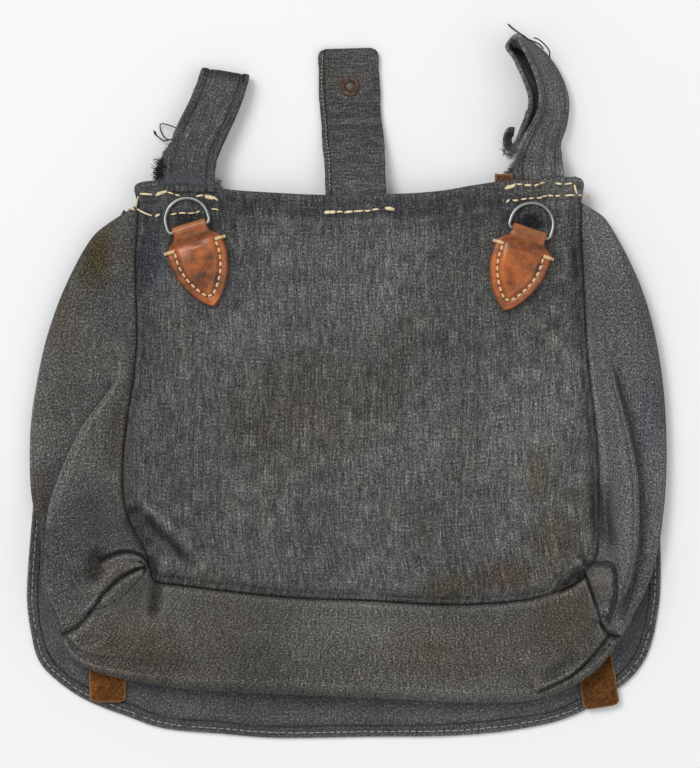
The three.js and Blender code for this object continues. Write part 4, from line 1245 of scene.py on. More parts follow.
@dataclass
class Body:
    """The sewn shell: back and front panels, two side gussets and the base strip.

    Attributes:
        step: distance between the rows of the gussets' nets.
        panel_width: across the back panel, for its net.
        panel_length: down the back panel, for its net.
        panel_step: distance between the rows and columns of the back panel's net.
        hem_depth: how far down the hem's sewn line lies.
        seam_sink: how deep the cloth rolls into each seam.
        seam_roll: over how far it rolls on the gussets.
        back_roll: over how far it rolls on the back panel.
        top_corner: how round the back panel's top corners are.
        pieces: the finished panels, by their nodes.
    """

    step: float = 0.95
    panel_width: float = 266.0
    panel_length: float = 232.0
    panel_step: float = 1.4
    hem_depth: float = 13.5
    seam_sink: float = 2.3
    seam_roll: float = 1.7
    back_roll: float = 2.1
    top_corner: float = 5.5
    pieces: dict[str, bpy.types.Object] = field(default_factory=dict)

    def sections(self, table: Sequence[Section]) -> Array:
        """A table's rows at even steps along its seam and rim."""
        rows = smooth_table(np.array([s.numbers() for s in table]), 24)
        middle = (PLAN.shares(rows[:, 0], rows[:, 1]) + PLAN.shares(rows[:, 2], rows[:, 3])) / 2
        fine = np.concatenate([middle, rows], axis=1)
        length = run_along(middle)[-1]
        return evenly(fine, int(length / self.step) + 2, by=2)[:, 2:]

    def profile(self, row: Array) -> Array:
        """One section's points in the frame.

        Args:
            row: the section's numbers.

        Returns:
            Points from the seam, over the fold and the rim, to the front panel's edge.
        """
        seam, rim = PLAN.shares(row[0], row[1]), PLAN.shares(row[2], row[3])
        fold, (at_seam, dip, inner, outer), rim_share, lap = row[4], row[5:9], row[9], max(row[10], 0.0)
        reach = float(np.linalg.norm(rim - seam))
        out = (rim - seam) / reach
        left = np.array([-out[1], out[0]])
        root, near, upper, lower = (float(PLAN.high(share)) for share in (at_seam, dip, inner, outer))
        halfway = float(PLAN.high(dip + 0.8 * (inner - dip)))
        under = PLAN.body_floor + 2.3 * float(smoothstep(row[3], 0.45, 0.72))
        edge = under + (PLAN.hem_top - under) * rim_share
        lip = fold * reach
        rest = reach - lip
        drop = upper - lower
        curl = min(lap, 0.45 * max(drop, 0.0))
        soft = max(0.0, 1 - lap / 2)
        body = [
            (0.0, root),
            (0.18 * lip, near),
            (0.5 * lip, halfway),
            ((0.8 - 0.12 * soft) * lip, upper),
            (lip - 0.5 * curl - 0.6 - 0.1 * soft * lip, upper - 0.1 * drop),
            (lip, upper - 0.36 * drop),
            (lip - 0.35 * curl + 0.22 * soft * rest, lower + 0.3 * drop),
            (lip - curl + 0.4 * soft * rest, lower + 0.13 * drop),
            (lip - 0.3 * curl + 0.55 * soft * rest, lower + 0.02 * drop),
            (lip + (0.18 + 0.45 * soft) * rest, lower - 0.02 * soft * drop),
            (lip + (0.5 + 0.22 * soft) * rest, lower - 0.02 * rest),
            (lip + (0.8 + 0.07 * soft) * rest, lower + 0.35 * (edge - lower)),
            (reach, edge),
            (lip + 0.86 * rest, under + 0.3 * (edge - under)),
            (lip + 0.62 * rest - 2.0, under),
            (lip + 0.3 * rest - 4.0, under),
        ]
        points = []
        for s, z in body:
            t = min(max(s / reach, 0.0), 1.0)
            swing = 4 * t * (1 - t)
            side = row[11] * bell(t - 0.3, 0.28) + row[12] * bell(t - 0.7, 0.28)
            xy = seam + out * s + left * side * swing
            points.append((xy[0], xy[1], z))
        return np.array(points)

    def shell(self, table: Sequence[Section], columns: int) -> Net:
        """The net of one gusset, seam edge first."""
        rows = self.sections(table)
        profiles = [curve_through(self.profile(row), columns) for row in rows]
        net = Net(np.array(profiles))
        facing = net.normals()[..., 2]
        if facing[:, : columns // 4].mean() < 0:
            facing = -facing
        net.up = smoothstep(facing, 0.1, 0.5)
        return net

    def sink_seams(self, net: Net, lines: Sequence[Array], roll: float) -> None:
        """Rolls the cloth down into the seams along some lines in plan, with painted shade along them."""
        flat = net.points.reshape(-1, 3)
        gap = np.full(len(flat), np.inf)
        for line in lines:
            near = close_to(line, flat[:, :2], 8)
            gap[near] = np.minimum(gap[near], np.abs(nearest_on(line, flat[near, :2])[0]))
        up = net.up.reshape(-1)
        flat[:, 2] -= up * self.seam_sink * np.exp(-((gap / roll) ** 1.5))
        net.points = flat.reshape(net.points.shape)
        # painted shade along each seam
        shade = 0.78 * bell(gap, 0.85) * up
        net.crevice = np.maximum(net.crevice, shade.reshape(net.crevice.shape))

    def build(self) -> dict[str, bpy.types.Object]:
        """Makes the five shells and puts them into the frame."""
        left = self.shell(LEFT_SECTIONS, 150)
        right = self.shell(RIGHT_SECTIONS, 146)
        base = self.shell(BASE_SECTIONS, 132)
        seams = [evenly(net.points[:, 0, :2], 70) for net in (left, right, base)]
        back = self.back_net(left, right, base)
        front = self.front_net(left, right, base)
        nets = {"left_gusset": left, "right_gusset": right, "base_gusset": base, "back_panel": back}
        for seed, (name, net) in enumerate(nets.items()):
            flat = name == "back_panel"
            net.roughen(*((0.55, 48) if flat else (0.9, 26)), 11 + seed)
            net.roughen(0.35, 9.5, 31 + seed)
            self.sink_seams(net, seams, self.back_roll if flat else self.seam_roll)
            for crease in CREASES:
                crease.press(net)
        self.hem_line(back)
        layer = (0, 0, PLAN.cloth)
        inner = {name: net.inside(PLAN.cloth) for name, net in nets.items()}
        inner |= {"back_panel": back.points - layer, "front_panel": front.points + layer}
        finishes = self.finishes()
        for name, net in {**nets, "front_panel": front}.items():
            writer = MeshWriter()
            writer.add_net(net, inner[name])
            self.pieces[name] = writer.write(f"{name}_cloth", finishes[name], Slot.CLOTH, name)
        return self.pieces

    def back_net(self, left: Net, right: Net, base: Net) -> Net:
        """The back panel's net, from its hemmed top edge to the seams round it."""
        columns = int(self.panel_width / self.panel_step)
        top_line = smooth_table(np.array(TOP_EDGE), 16)
        top = evenly(PLAN.shares(top_line[:, 0], top_line[:, 1]), columns)
        top = lifted(top, PLAN.hem_top)
        rows = int(self.panel_length / self.panel_step)
        side = lambda net, corner: evenly(np.vstack([corner, net.points[:, 0]]), rows)  # noqa: E731
        points = coons(
            side(left, top[0]), side(right, top[-1]), top, evenly(base.points[:, 0], columns)
        )
        level = PLAN.hem_top
        u = np.linspace(0, 1, columns)[None, :]
        v = np.linspace(0, 1, rows)[:, None]
        rise = points[..., 2] - level
        near_left, near_right, near_base = (1 - u) ** 7, u**7, v**7
        corner = near_left * rise[-1, 0] + near_right * rise[-1, -1]
        height = near_left * rise[:, [0]] + near_right * rise[:, [-1]] + near_base * (rise[[-1]] - corner)
        points[..., 2] = level + height
        below = points[[0], :, 1] - points[..., 1]
        turn = self.top_corner
        bite = turn - np.sqrt(turn**2 - np.clip(turn - below, 0, turn) ** 2)
        points[..., 0] += bite * ((1 - u) ** 12 - u**12)
        net = Net(points)
        net.up = np.ones_like(u * v) * smoothstep(v, 0.0, 0.03)
        return net

    def front_net(self, left: Net, right: Net, base: Net) -> Net:
        """The front panel's net, under the bag."""
        rows, columns = 60, 70
        a = evenly(left.points[:, -1], rows)
        b = evenly(right.points[:, -1], rows)
        top = a[0] + np.linspace(0, 1, columns)[:, None] * (b[0] - a[0])
        return Net(coons(a, b, top, evenly(base.points[:, -1], columns)))

    def hem_line(self, net: Net) -> None:
        """Sews the top hem: a soft step where the turned-in cloth ends, and a rounded top edge, with painted
        shade in its sewn groove.
        """
        top = net.points[0, :, 1]
        below = top[None, :] - net.points[..., 1]
        x = net.points[..., 0] - PLAN.middle
        strength = 0.55 + 0.35 * noise(x, below, 30, 5)
        net.points[..., 2] += strength * (1 - smoothstep(below, self.hem_depth - 2, self.hem_depth + 1.5))
        net.points[..., 2] -= 0.9 * bell(below, 1.6)
        groove = bell(below - self.hem_depth, 0.9)
        net.points[..., 2] -= 0.5 * groove
        # painted shade in the hem's sewn groove
        net.crevice = np.maximum(net.crevice, 0.38 * groove * (0.6 + 0.4 * noise(x, below, 14, 8)))

    def finishes(self) -> dict[str, WoolCanvas]:
        """The cloth of each panel, with its own direction of weave and its own stains, one of them a painted
        shade on the left gusset.
        """
        back = WoolCanvas(
            "back_panel_canvas",
            tone=(84, 84, 83),
            brown=0.3,
            stains=(
                Stain((90.0, -222.0), (24, 13), 0.7, (228, 196, 168)),
                Stain((106.0, -165.0), (14, 26), 0.6),
                Stain((58.0, -228.0), (26, 9), 0.6),
                Stain((0.0, -16.0), (170, 16), 0.8, (196, 198, 212)),
                Stain((-112.0, -60.0), (16, 60), 0.6, (206, 208, 220)),
                Stain((115.0, -205.0), (20, 30), 0.6),
                Stain((-20.0, -130.0), (60, 40), 0.4),
                Stain((-112.0, -45.0), (12, 30), 0.6, BLUISH),
                Stain((-70.0, -60.0), (30, 40), 0.4, BLUISH),
                Stain((103.0, -24.0), (10, 7), 1.0, UNFADED),
                Stain((-90.0, -22.0), (9, 6), 0.7, UNFADED),
            ),
        )
        left = WoolCanvas(
            "left_gusset_canvas",
            tone=(81, 80, 78),
            contrast=1.3,
            brown=0.2,
            streaks=(0.5, 0.2),
            stains=(
                Stain((-141.0, -40.0), (17, 36), 1.0, (214, 196, 150)),
                Stain((-160.0, -78.0), (14, 34), 0.5),
                Stain((-131.0, -70.0), (16, 30), 0.5, BLUISH),
                Stain((-128.0, -150.0), (10, 40), 0.5, (228, 214, 178)),
                Stain((-134.0, -219.0), (15, 9), 0.45, (228, 214, 178)),
                # painted shade over the valley beside the left corner's fold, not a stain
                Stain((-146.0, -192.0), (24, 36), 0.8, (206, 208, 216)),
                Stain((-168.0, -190.0), (16, 60), 0.4, BLUISH),
                Stain((-174.0, -178.0), (8, 26), 0.6),
            ),
        )
        right = WoolCanvas(
            "right_gusset_canvas",
            tone=(98, 98, 99),
            contrast=1.25,
            brown=0.12,
            streaks=(0.5, 0.25),
            stains=(Stain((136.0, -226.0), (18, 18), 0.45), Stain((170.0, -140.0), (10, 40), 0.3, BLUISH)),
        )
        base = WoolCanvas(
            "base_strip_canvas",
            tone=(84, 82, 79),
            contrast=1.25,
            brown=0.25,
            streaks=(0.25, 0.6),
            stains=(
                Stain((-118.0, -262.0), (40, 26), 0.45),
                Stain((60.0, -265.0), (60, 24), 0.35),
                Stain((120.0, -245.0), (26, 30), 0.45),
            ),
        )
        front = WoolCanvas("front_panel_canvas", tone=(78, 78, 79), brown=0.2)
        return {
            "back_panel": back,
            "left_gusset": left,
            "right_gusset": right,
            "base_gusset": base,
            "front_panel": front,
        }


# The flap, folded under the bag

FLAP_OUTLINE = (
    (-0.66, 0.04), (-0.745, 0.11), (-0.86, 0.228), (-0.935, 0.345), (-0.972, 0.468), (-0.985, 0.58),
    (-0.995, 0.66), (-1.006, 0.745), (-1.009, 0.81), (-0.995, 0.873), (-0.975, 0.918), (-0.93, 0.953),
    (-0.83, 0.996), (-0.7, 1.028), (-0.575, 1.053), (-0.4, 1.063), (-0.22, 1.071), (0.06, 1.069),
    (0.33, 1.067), (0.54, 1.054), (0.7, 1.03), (0.84, 0.98), (0.915, 0.937), (0.955, 0.885),
    (0.978, 0.81), (0.983, 0.74), (0.98, 0.66), (0.972, 0.56), (0.965, 0.46), (0.94, 0.35),
    (0.885, 0.228), (0.8, 0.11), (0.72, 0.04),
)


@dataclass
class Flap:
    """The flap, its stitched hem and its turn round the mouth.

    Attributes:
        hem_width: across the folded edge.
        hem_thickness: through its two layers.
        stitch_inset: from the outer edge to the row of stitches.
        stitch_pitch: from one stitch to the next.
        stitch_length: of each stitch.
        margin: from each end of the edge to the nearest stitch.
        edge_points: how many points the edge has.
        gap: between the hem and the single cloth inside it, negative where it runs in.
    """

    hem_width: float = 6.8
    hem_thickness: float = 2.4
    stitch_inset: float = 3.0
    stitch_pitch: float = 3.9
    stitch_length: float = 2.5
    margin: float = 42.0
    edge_points: int = 620
    gap: float = -0.9

    def outline(self) -> Array:
        """The flap's edge, anticlockwise from its top left, at even steps."""
        rows = smooth_table(np.array(FLAP_OUTLINE), 20)
        edge = PLAN.shares(rows[:, 0], rows[:, 1])
        return evenly(edge, self.edge_points)

    @staticmethod
    def inset(edge: Array, distance: Array | float) -> Array:
        """A line inside the edge."""
        return edge + left_of(edge) * np.broadcast_to(np.asarray(distance, float), len(edge))[:, None]

    def hem(self, edge: Array) -> bpy.types.Object:
        """The folded and stitched edge."""
        width, height = self.hem_width, self.hem_thickness
        section = []
        for k in range(24):
            turn = k / 24 * 2 * math.pi
            c, s = math.cos(turn), math.sin(turn)
            across = width / 2 - width / 2 * math.copysign(abs(c) ** 0.55, c)
            lift = height / 2 + height / 2 * math.copysign(abs(s) ** 0.6, s)
            section.append((across, lift))
        run = run_along(edge)
        pinch = 0.5 + 0.5 * np.cos(run / self.stitch_pitch * 2 * math.pi)
        wander = 0.5 * ripple(run, 19, 3) + 0.25 * ripple(run, 6, 4)
        rings = []
        for across, lift in section:
            line = self.inset(edge, across + wander * (across / width))
            top = lift > height / 2
            dent = 0.75 * bell(across - self.stitch_inset, 0.8) if top else 0.0
            swell = 0.22 * noise(run, np.full_like(run, across), 8, 9) if top else 0.0
            rings.append(lifted(line, lift - dent * (0.55 + 0.45 * pinch) + swell))
        net = np.array(rings).transpose(1, 0, 2)
        vertices = np.concatenate([net.reshape(-1, 3), [net[0].mean(axis=0), net[-1].mean(axis=0)]])
        around, level = np.array(section).T
        # painted shade where the hem meets the cloth inside it, and along its stitch line
        shade = 0.85 * bell(around - width, 0.7)
        shade += 0.25 * (level > height / 2) * bell(around - self.stitch_inset, 0.9)
        crevice, wear = (np.append(np.tile(v, len(run)), (0, 0)) for v in (shade, bell(around, 0.9)))
        weave = tube_weave(run, around)
        writer = MeshWriter()
        writer.add(vertices, tube_faces(len(run), len(around)), weave=weave, crevice=crevice, wear=wear)
        canvas = WoolCanvas("flap_hem_canvas", tone=(78, 78, 79), brown=0.12, streaks=(0.3, 0.6), specks=0.03)
        return writer.write("flap_hem_cloth", canvas, Slot.CLOTH, "flap_hem")

    def sheet(self, edge: Array) -> bpy.types.Object:
        """The single cloth inside the hem, with its turn round the mouth."""
        inner = self.inset(edge, self.hem_width + self.gap)
        fifth = len(inner) // 5
        left, right = inner[:fifth], inner[::-1][:fifth]
        bottom = inner[fifth - 1 : len(inner) - fifth + 1]
        columns, rows = 150, 60
        top = np.column_stack([
            np.linspace(left[0, 0], right[0, 0], columns),
            np.full(columns, max(left[0, 1], right[0, 1]) + 0.5),
        ])
        lines = (evenly(left, rows), evenly(right, rows), top, evenly(bottom, columns))
        points = coons(*(lifted(line, PLAN.cloth) for line in lines))[::-1].copy()
        points[..., 2] += 0.25 * (1 + noise(points[..., 0], points[..., 1], 22, 41))
        mouth = points[-1]
        face = node_box("flap")[1, 2] / 2 - PLAN.cloth
        rise = []
        for angle in np.linspace(0, math.pi, 17)[1:]:
            lift = PLAN.cloth + face * (1 - math.cos(angle))
            rise.append(lifted(mouth[:, :2] + (0, face * math.sin(angle)), lift))
        rise.append(lifted(mouth[:, :2] - (0, 9.0), rise[-1][:, 2]))
        net = Net(np.concatenate([points, np.array(rise)]))
        writer = MeshWriter()
        writer.add_net(net, net.inside(PLAN.cloth))
        canvas = WoolCanvas("flap_canvas", tone=(87, 87, 90), brown=0.1, streaks=(0.35, 0.35), specks=0.05)
        piece = writer.write("flap_cloth", canvas, Slot.CLOTH, "flap")
        return piece

    def stitches(self, edge: Array, hem: bpy.types.Object) -> bpy.types.Object:
        """The machine-sewn row along the hem."""
        line = self.inset(edge, self.stitch_inset)
        run = run_along(line)
        ground = Ground(hem)
        writer = MeshWriter()
        chance = np.random.default_rng(23)
        start = self.margin
        while start < run[-1] - self.margin:
            length = self.stitch_length + chance.uniform(-0.3, 0.3)
            places = np.linspace(start, start + length, 5)
            points = np.stack([np.interp(places, run, column) for column in line.T], axis=1)
            points += chance.normal(0, 0.08, 2)
            laid = lifted(points, ground.heights(points) + 0.05)
            laid[:, 2] += 0.14 * np.sin(np.linspace(0, math.pi, 5))
            if chance.random() > 0.07:
                writer.add_tube(laid, 0.23, 6)
            start += self.stitch_pitch + chance.uniform(-0.25, 0.25)
        thread = Thread("hem_thread", tone=(186, 186, 178), twist=0.6)
        return writer.write("hem_stitches", thread, Slot.CLOTH)

    def build(self) -> None:
        """Makes the flap's pieces."""
        edge = self.outline()
        self.sheet(edge)
        hem = self.hem(edge)
        self.stitches(edge, hem)


# Straps at the mouth


@dataclass(frozen=True)
class StrapSection:
    """One section of a strap.

    Attributes:
        along: from the hem, as a share of the reach.
        sway: to the right, as a share of the width.
        lift: 0 lying on the floor to 1 caught under the hem.
        heading: degrees that its width is turned in plan.
        tilt: degrees that its right edge is raised.
        gap: to the layer that comes back over or under it past the fold, in hem steps.
    """

    along: float
    sway: float
    lift: float
    heading: float = 0.0
    tilt: float = 0.0
    gap: float = 0.0

    def numbers(self) -> list[float]:
        """The section as one row of numbers."""
        return [self.along, self.sway, self.lift, self.heading, self.tilt, self.gap]


TAB_SECTIONS = (
    StrapSection(0, 0, 1, 2),
    StrapSection(0.08, -0.01, 0.96, 2),
    StrapSection(0.22, -0.02, 0.62, 2),
    StrapSection(0.38, -0.05, 0.2, 2),
    StrapSection(0.52, -0.08, 0.03, 2),
    StrapSection(0.64, -0.1, 0, 1),
    StrapSection(0.86, -0.12, 0, 0),
    StrapSection(1, -0.13, 0.02, 0),
)
LEFT_LOOP_SECTIONS = (
    StrapSection(-0.09, 0, 1, 0, 0, 1),
    StrapSection(0.04, 0, 0.99, -2, 0, 1),
    StrapSection(0.22, 0.03, 0.72, -10, 0, 1.3),
    StrapSection(0.42, 0.19, 0.28, -16, 0, 1.95),
    StrapSection(0.62, 0.4, 0.1, -18, 0, 2.15),
    StrapSection(0.8, 0.57, 0.04, -15, 0, 2.1),
    StrapSection(0.94, 0.67, 0.04, -9, 0, 1.9),
)
RIGHT_LOOP_SECTIONS = (
    StrapSection(0, 0, 1),
    StrapSection(0.12, -0.02, 0.95, 0, -14),
    StrapSection(0.2, 0.02, 0.8, -8, -32, 1.2),
    StrapSection(0.28, 0.1, 0.62, -14, -44, 1.5),
    StrapSection(0.385, 0.24, 0.52, -10, -50, 1.7),
    StrapSection(0.5, 0.29, 0.48, 6, -52, 1.8),
    StrapSection(0.62, 0.22, 0.46, 20, -56, 1.9),
    StrapSection(0.74, 0.05, 0.38, 34, -62, 2),
    StrapSection(0.84, -0.16, 0.28, 46, -70, 2.1),
    StrapSection(0.91, -0.36, 0.16, 58, -80, 2.2),
)


class Return(Enum):
    """Which way a folded strap's second layer comes back."""

    NONE = 0
    OVER = 1
    UNDER = -1


@dataclass
class Strap:
    """A strap of hemmed cloth, sewn under the mouth's hem.

    Attributes:
        name: the CAD node that it stands for.
        sections: where it runs.
        place: where it is sewn, right of the bag's middle.
        reach: its free length past the hem, up to its fold.
        width: across the strap.
        floor: lowest it may lie.
        back: how its second layer comes back.
        canvas: its cloth.
        felled: how far in from each edge the sewn fold lies.
        thickness: through the strap.
        sewn_depth: how far it runs in under the hem.
        felled_right: whether its right edge is felled, as its left one is.
        corner: how round its free end's corners are.
        wrinkle: height of the small wrinkles across it.
        seed: which unevenness it has.
        step: distance between the rows of its net.
        clearance: lowest that any point may lie.
    """

    name: str
    sections: tuple[StrapSection, ...]
    place: float
    reach: float
    width: float
    canvas: WoolCanvas
    floor: float = 0.0
    back: Return = Return.NONE
    felled: float = 5.0
    thickness: float = 1.8
    sewn_depth: float = 9.0
    felled_right: bool = True
    corner: float = 0.0
    wrinkle: float = 0.0
    seed: int = 1
    step: float = 0.85
    clearance: float = 0.02

    def hem_y(self, x: float) -> float:
        """Where the mouth's edge lies at some place along X."""
        line = smooth_table(np.array(TOP_EDGE), 16)
        edge = PLAN.shares(line[:, 0], line[:, 1])
        return float(np.interp(x, edge[:, 0], edge[:, 1]))

    def run(self) -> tuple[Array, Array]:
        """The strap's centre line, from its sewn end over its fold, and its width's direction along it."""
        base = node_box("backing_patch")[0, 2]
        hem_step = self.thickness + PLAN.cloth + 0.6
        x0 = PLAN.middle + self.place
        y0 = self.hem_y(x0)
        rows = smooth_table(np.array([s.numbers() for s in self.sections]), 10)
        along, sway, lift, heading, tilt, gap = rows.T
        heading, tilt = np.radians(heading), np.radians(tilt)
        flat = np.cos(tilt)
        across = np.stack([np.cos(heading) * flat, np.sin(heading) * flat, np.sin(tilt)], axis=1)
        drop = (np.abs(np.sin(tilt)) * self.width + flat * self.thickness) / 2
        level = self.floor + drop + lift * (base - self.floor)
        centre = np.stack([x0 + sway * self.width, y0 + along * self.reach, level], axis=1)
        if self.back is not Return.NONE:
            ahead = unit(np.gradient(centre, axis=0))
            face = unit(np.cross(across, ahead)) * self.back.value
            wide = gap[-1] * hem_step
            turn = np.linspace(0, math.pi, 16)[1:-1, None]
            fold = centre[-1] + ahead[-1] * np.sin(turn) * wide / 2 + face[-1] * (1 - np.cos(turn)) * wide / 2
            kept = gap >= 1.0
            home = (centre + face * (gap * hem_step)[:, None])[kept][::-1]
            centre = np.concatenate([centre, fold, home])
            across = np.concatenate([across, np.repeat(across[-1:], len(fold), 0), across[kept][::-1]])
        sewn = centre[0] * (1, 0, 1) + (0, y0 - self.sewn_depth, 0)
        return np.vstack([sewn, centre]), np.vstack([across[0], across])

    def faces(self) -> tuple[Net, Array]:
        """The strap's outer face and the points of its inner one."""
        centre, across = self.run()
        length = run_along(centre)[-1]
        rows = int(length / self.step)
        data = evenly(np.hstack([centre, across]), rows, by=3)
        centre, across = data[:, :3], data[:, 3:]
        kernel = np.array([1, 2, 3, 2, 1]) / 9
        for k in range(3):
            padded = np.pad(across[:, k], 2, mode="edge")
            across[:, k] = np.convolve(padded, kernel, mode="valid")
        ahead = unit(np.gradient(centre, axis=0))
        across = unit(across - np.sum(across * ahead, axis=1, keepdims=True) * ahead)
        face = unit(np.cross(ahead, across))
        w = np.linspace(-1, 1, 41)
        half = self.width / 2
        run = np.linspace(0, length, rows)
        wobble = 0.35 * ripple(run, 16, self.seed) + 0.2 * ripple(run, 5, self.seed + 1)
        if self.corner:
            near_end = np.clip(self.corner - (run[-1] - run), 0, self.corner)
            wobble = wobble - (self.corner - np.sqrt(self.corner**2 - near_end**2))
        reach = half + wobble[:, None] * np.abs(w)[None] ** 3
        points = centre[:, None] + across[:, None] * (w[None, :] * reach)[..., None]
        from_left = (1 + w) * half
        inward = np.minimum(from_left, (1 - w) * half)
        sewn = inward if self.felled_right else from_left
        band = 0.32 * (1 - smoothstep(sewn, self.felled - 0.6, self.felled + 0.4))
        groove = bell(sewn - self.felled, 0.75)
        edge = -0.5 * bell(inward, 0.8)
        lift = (band + edge)[None] - 0.55 * groove[None]
        down, over = run[:, None], (w * half)[None]
        lift = lift + 0.25 * noise(down, over, 7, self.seed + 2)
        middle = bell(down / run[-1] - 0.5, 0.25)
        small = noise(down + over * 0.1, over * 0.18, 3.4, self.seed + 5)
        lift = lift + self.wrinkle * middle * small
        points += face[:, None] * (lift + self.thickness / 2)[..., None]
        net = Net(points)
        # painted shade in the felled seam's groove
        net.crevice = np.broadcast_to(0.9 * groove, net.crevice.shape).copy()
        inner = points - face[:, None] * (self.thickness + np.maximum(lift, -0.6))[..., None]
        return net, inner

    def build(self) -> bpy.types.Object:
        """Makes the strap and puts it into the frame."""
        net, inner = self.faces()
        for points in (net.points, inner):
            points[..., 2] = np.maximum(points[..., 2], self.clearance)
        writer = MeshWriter()
        writer.add_net(net, inner)
        piece = writer.write(f"{self.name}_cloth", self.canvas, Slot.CLOTH, self.name)
        return piece


# Sewing threads


@dataclass(frozen=True)
class Stitch:
    """One stitch that shows, from one hole to the next, on the bag.

    Attributes:
        start: where it comes out.
        end: where it goes in.
        radius: half its thickness.
        bulge: how far it stands off the cloth.
    """

    start: Point
    end: Point
    radius: float = 0.5
    bulge: float = 0.35


def hand_row(*rows: tuple[float, ...]) -> tuple[Stitch, ...]:
    """Hand stitches, each given as its two ends on the bag and its radius."""
    return tuple(Stitch((x0, y0), (x1, y1), radius) for x0, y0, x1, y1, radius in rows)


@dataclass
class HandSewing:
    """Rows of hand stitches laid over finished cloth.

    Attributes:
        name: the piece's name.
        stitches: the stitches that show.
        finish: their thread.
        seed: which unevenness they have.
    """

    name: str
    stitches: tuple[Stitch, ...]
    finish: Thread
    seed: int = 7

    def build(self, ground: Ground) -> bpy.types.Object:
        """Makes the row as one mesh.

        Args:
            ground: what the stitches lie on.

        Returns:
            The sewn row.
        """
        chance = np.random.default_rng(self.seed)
        writer = MeshWriter()
        t = np.linspace(0, 1, 9)
        for stitch in self.stitches:
            start, end = PLAN.place([stitch.start, stitch.end])
            line = start + t[:, None] * (end - start)
            normal = unit(np.array([start[1] - end[1], end[0] - start[0]]))
            line += normal * (np.sin(t * math.pi) * chance.normal(0, 0.18))[:, None]
            heights = ground.heights(line)
            smooth = np.linspace(heights[:2].mean(), heights[-2:].mean(), len(t))
            arch = np.sin(t * math.pi) ** 0.5
            z = np.maximum(heights, smooth) + arch * (stitch.radius * 0.55 + stitch.bulge) - (1 - arch) * 0.7
            radius = stitch.radius * (0.72 + 0.36 * np.sin(t * math.pi)) * chance.uniform(0.9, 1.12)
            writer.add_tube(lifted(line, z), radius, 8, 0.85)
        return writer.write(self.name, self.finish, Slot.CLOTH)


CREAM = Thread("waxed_linen_thread", tone=(240, 216, 178))
LEFT_SEWING = hand_row(
    (-117.2, -7.4, -109.5, -7.9, 0.5), (-108.2, -8.4, -101.7, -6.4, 0.62), (-107.4, -7.3, -101.5, -6.0, 0.6),
    (-101.7, -6.2, -97.9, -7.6, 0.5), (-97.0, -7.8, -94.3, -8.6, 0.45), (-85.3, -9.1, -81.0, -8.2, 0.55),
    (-80.2, -8.2, -79.0, -10.4, 0.5), (-79.4, -8.0, -77.8, -10.6, 0.5), (-78.2, -8.1, -76.2, -10.6, 0.55),
    (-77.0, -8.3, -74.9, -10.4, 0.5), (-75.4, -8.8, -72.9, -11.2, 0.5), (-117.6, -8.4, -119.2, -15.6, 0.42),
    (-123.9, -14.7, -119.8, -16.4, 0.55), (-118.9, -15.6, -109.5, -19.9, 0.42),
    (-108.2, -20.2, -105.6, -18.9, 0.6), (-99.6, -18.9, -96.2, -18.3, 0.5), (-95.2, -18.3, -90.7, -18.3, 0.5),
    (-90.1, -18.3, -85.8, -18.1, 0.45), (-85.5, -18.1, -83.2, -17.0, 0.5), (-76.9, -15.9, -72.4, -16.6, 0.42),
)
RIGHT_SEWING = hand_row(
    (88.0, -4.6, 91.2, -3.0, 0.62), (89.0, -4.4, 93.9, -2.6, 0.6), (88.6, -3.4, 94.2, -1.8, 0.55),
    (94.5, -1.9, 97.9, -2.0, 0.5), (99.0, -2.7, 102.9, -2.8, 0.6), (104.4, -3.1, 107.4, -2.1, 0.5),
    (107.7, -1.9, 110.6, -1.0, 0.42), (116.5, -1.5, 120.0, -1.9, 0.6), (121.4, -2.1, 126.0, -1.5, 0.5),
    (127.0, -2.1, 128.6, -7.8, 0.5), (88.9, -12.4, 90.6, -10.7, 0.62), (92.3, -11.0, 95.8, -10.9, 0.5),
    (96.9, -10.7, 100.4, -10.1, 0.5), (101.5, -10.1, 104.4, -9.8, 0.5), (106.0, -9.8, 109.0, -9.1, 0.5),
    (109.2, -9.0, 111.7, -8.3, 0.45), (112.2, -8.3, 115.2, -8.6, 0.55), (116.3, -8.7, 119.2, -8.3, 0.5),
    (121.7, -8.7, 127.3, -8.3, 0.5), (128.9, -8.0, 136.4, -8.0, 0.5),
)
MIDDLE_SEWING = hand_row(
    (-13.2, -17.9, -9.5, -17.6, 0.95), (-10.4, -17.5, -7.2, -17.5, 0.85), (-6.4, -17.7, -3.0, -17.7, 0.5),
    (-2.1, -18.0, 2.8, -17.4, 0.6), (3.2, -17.3, 8.8, -16.9, 0.55), (9.2, -16.9, 12.8, -16.5, 0.5),
    (13.3, -16.4, 17.3, -16.0, 0.5), (20.9, -15.6, 26.0, -16.4, 0.95),
)


# Chapes and rings


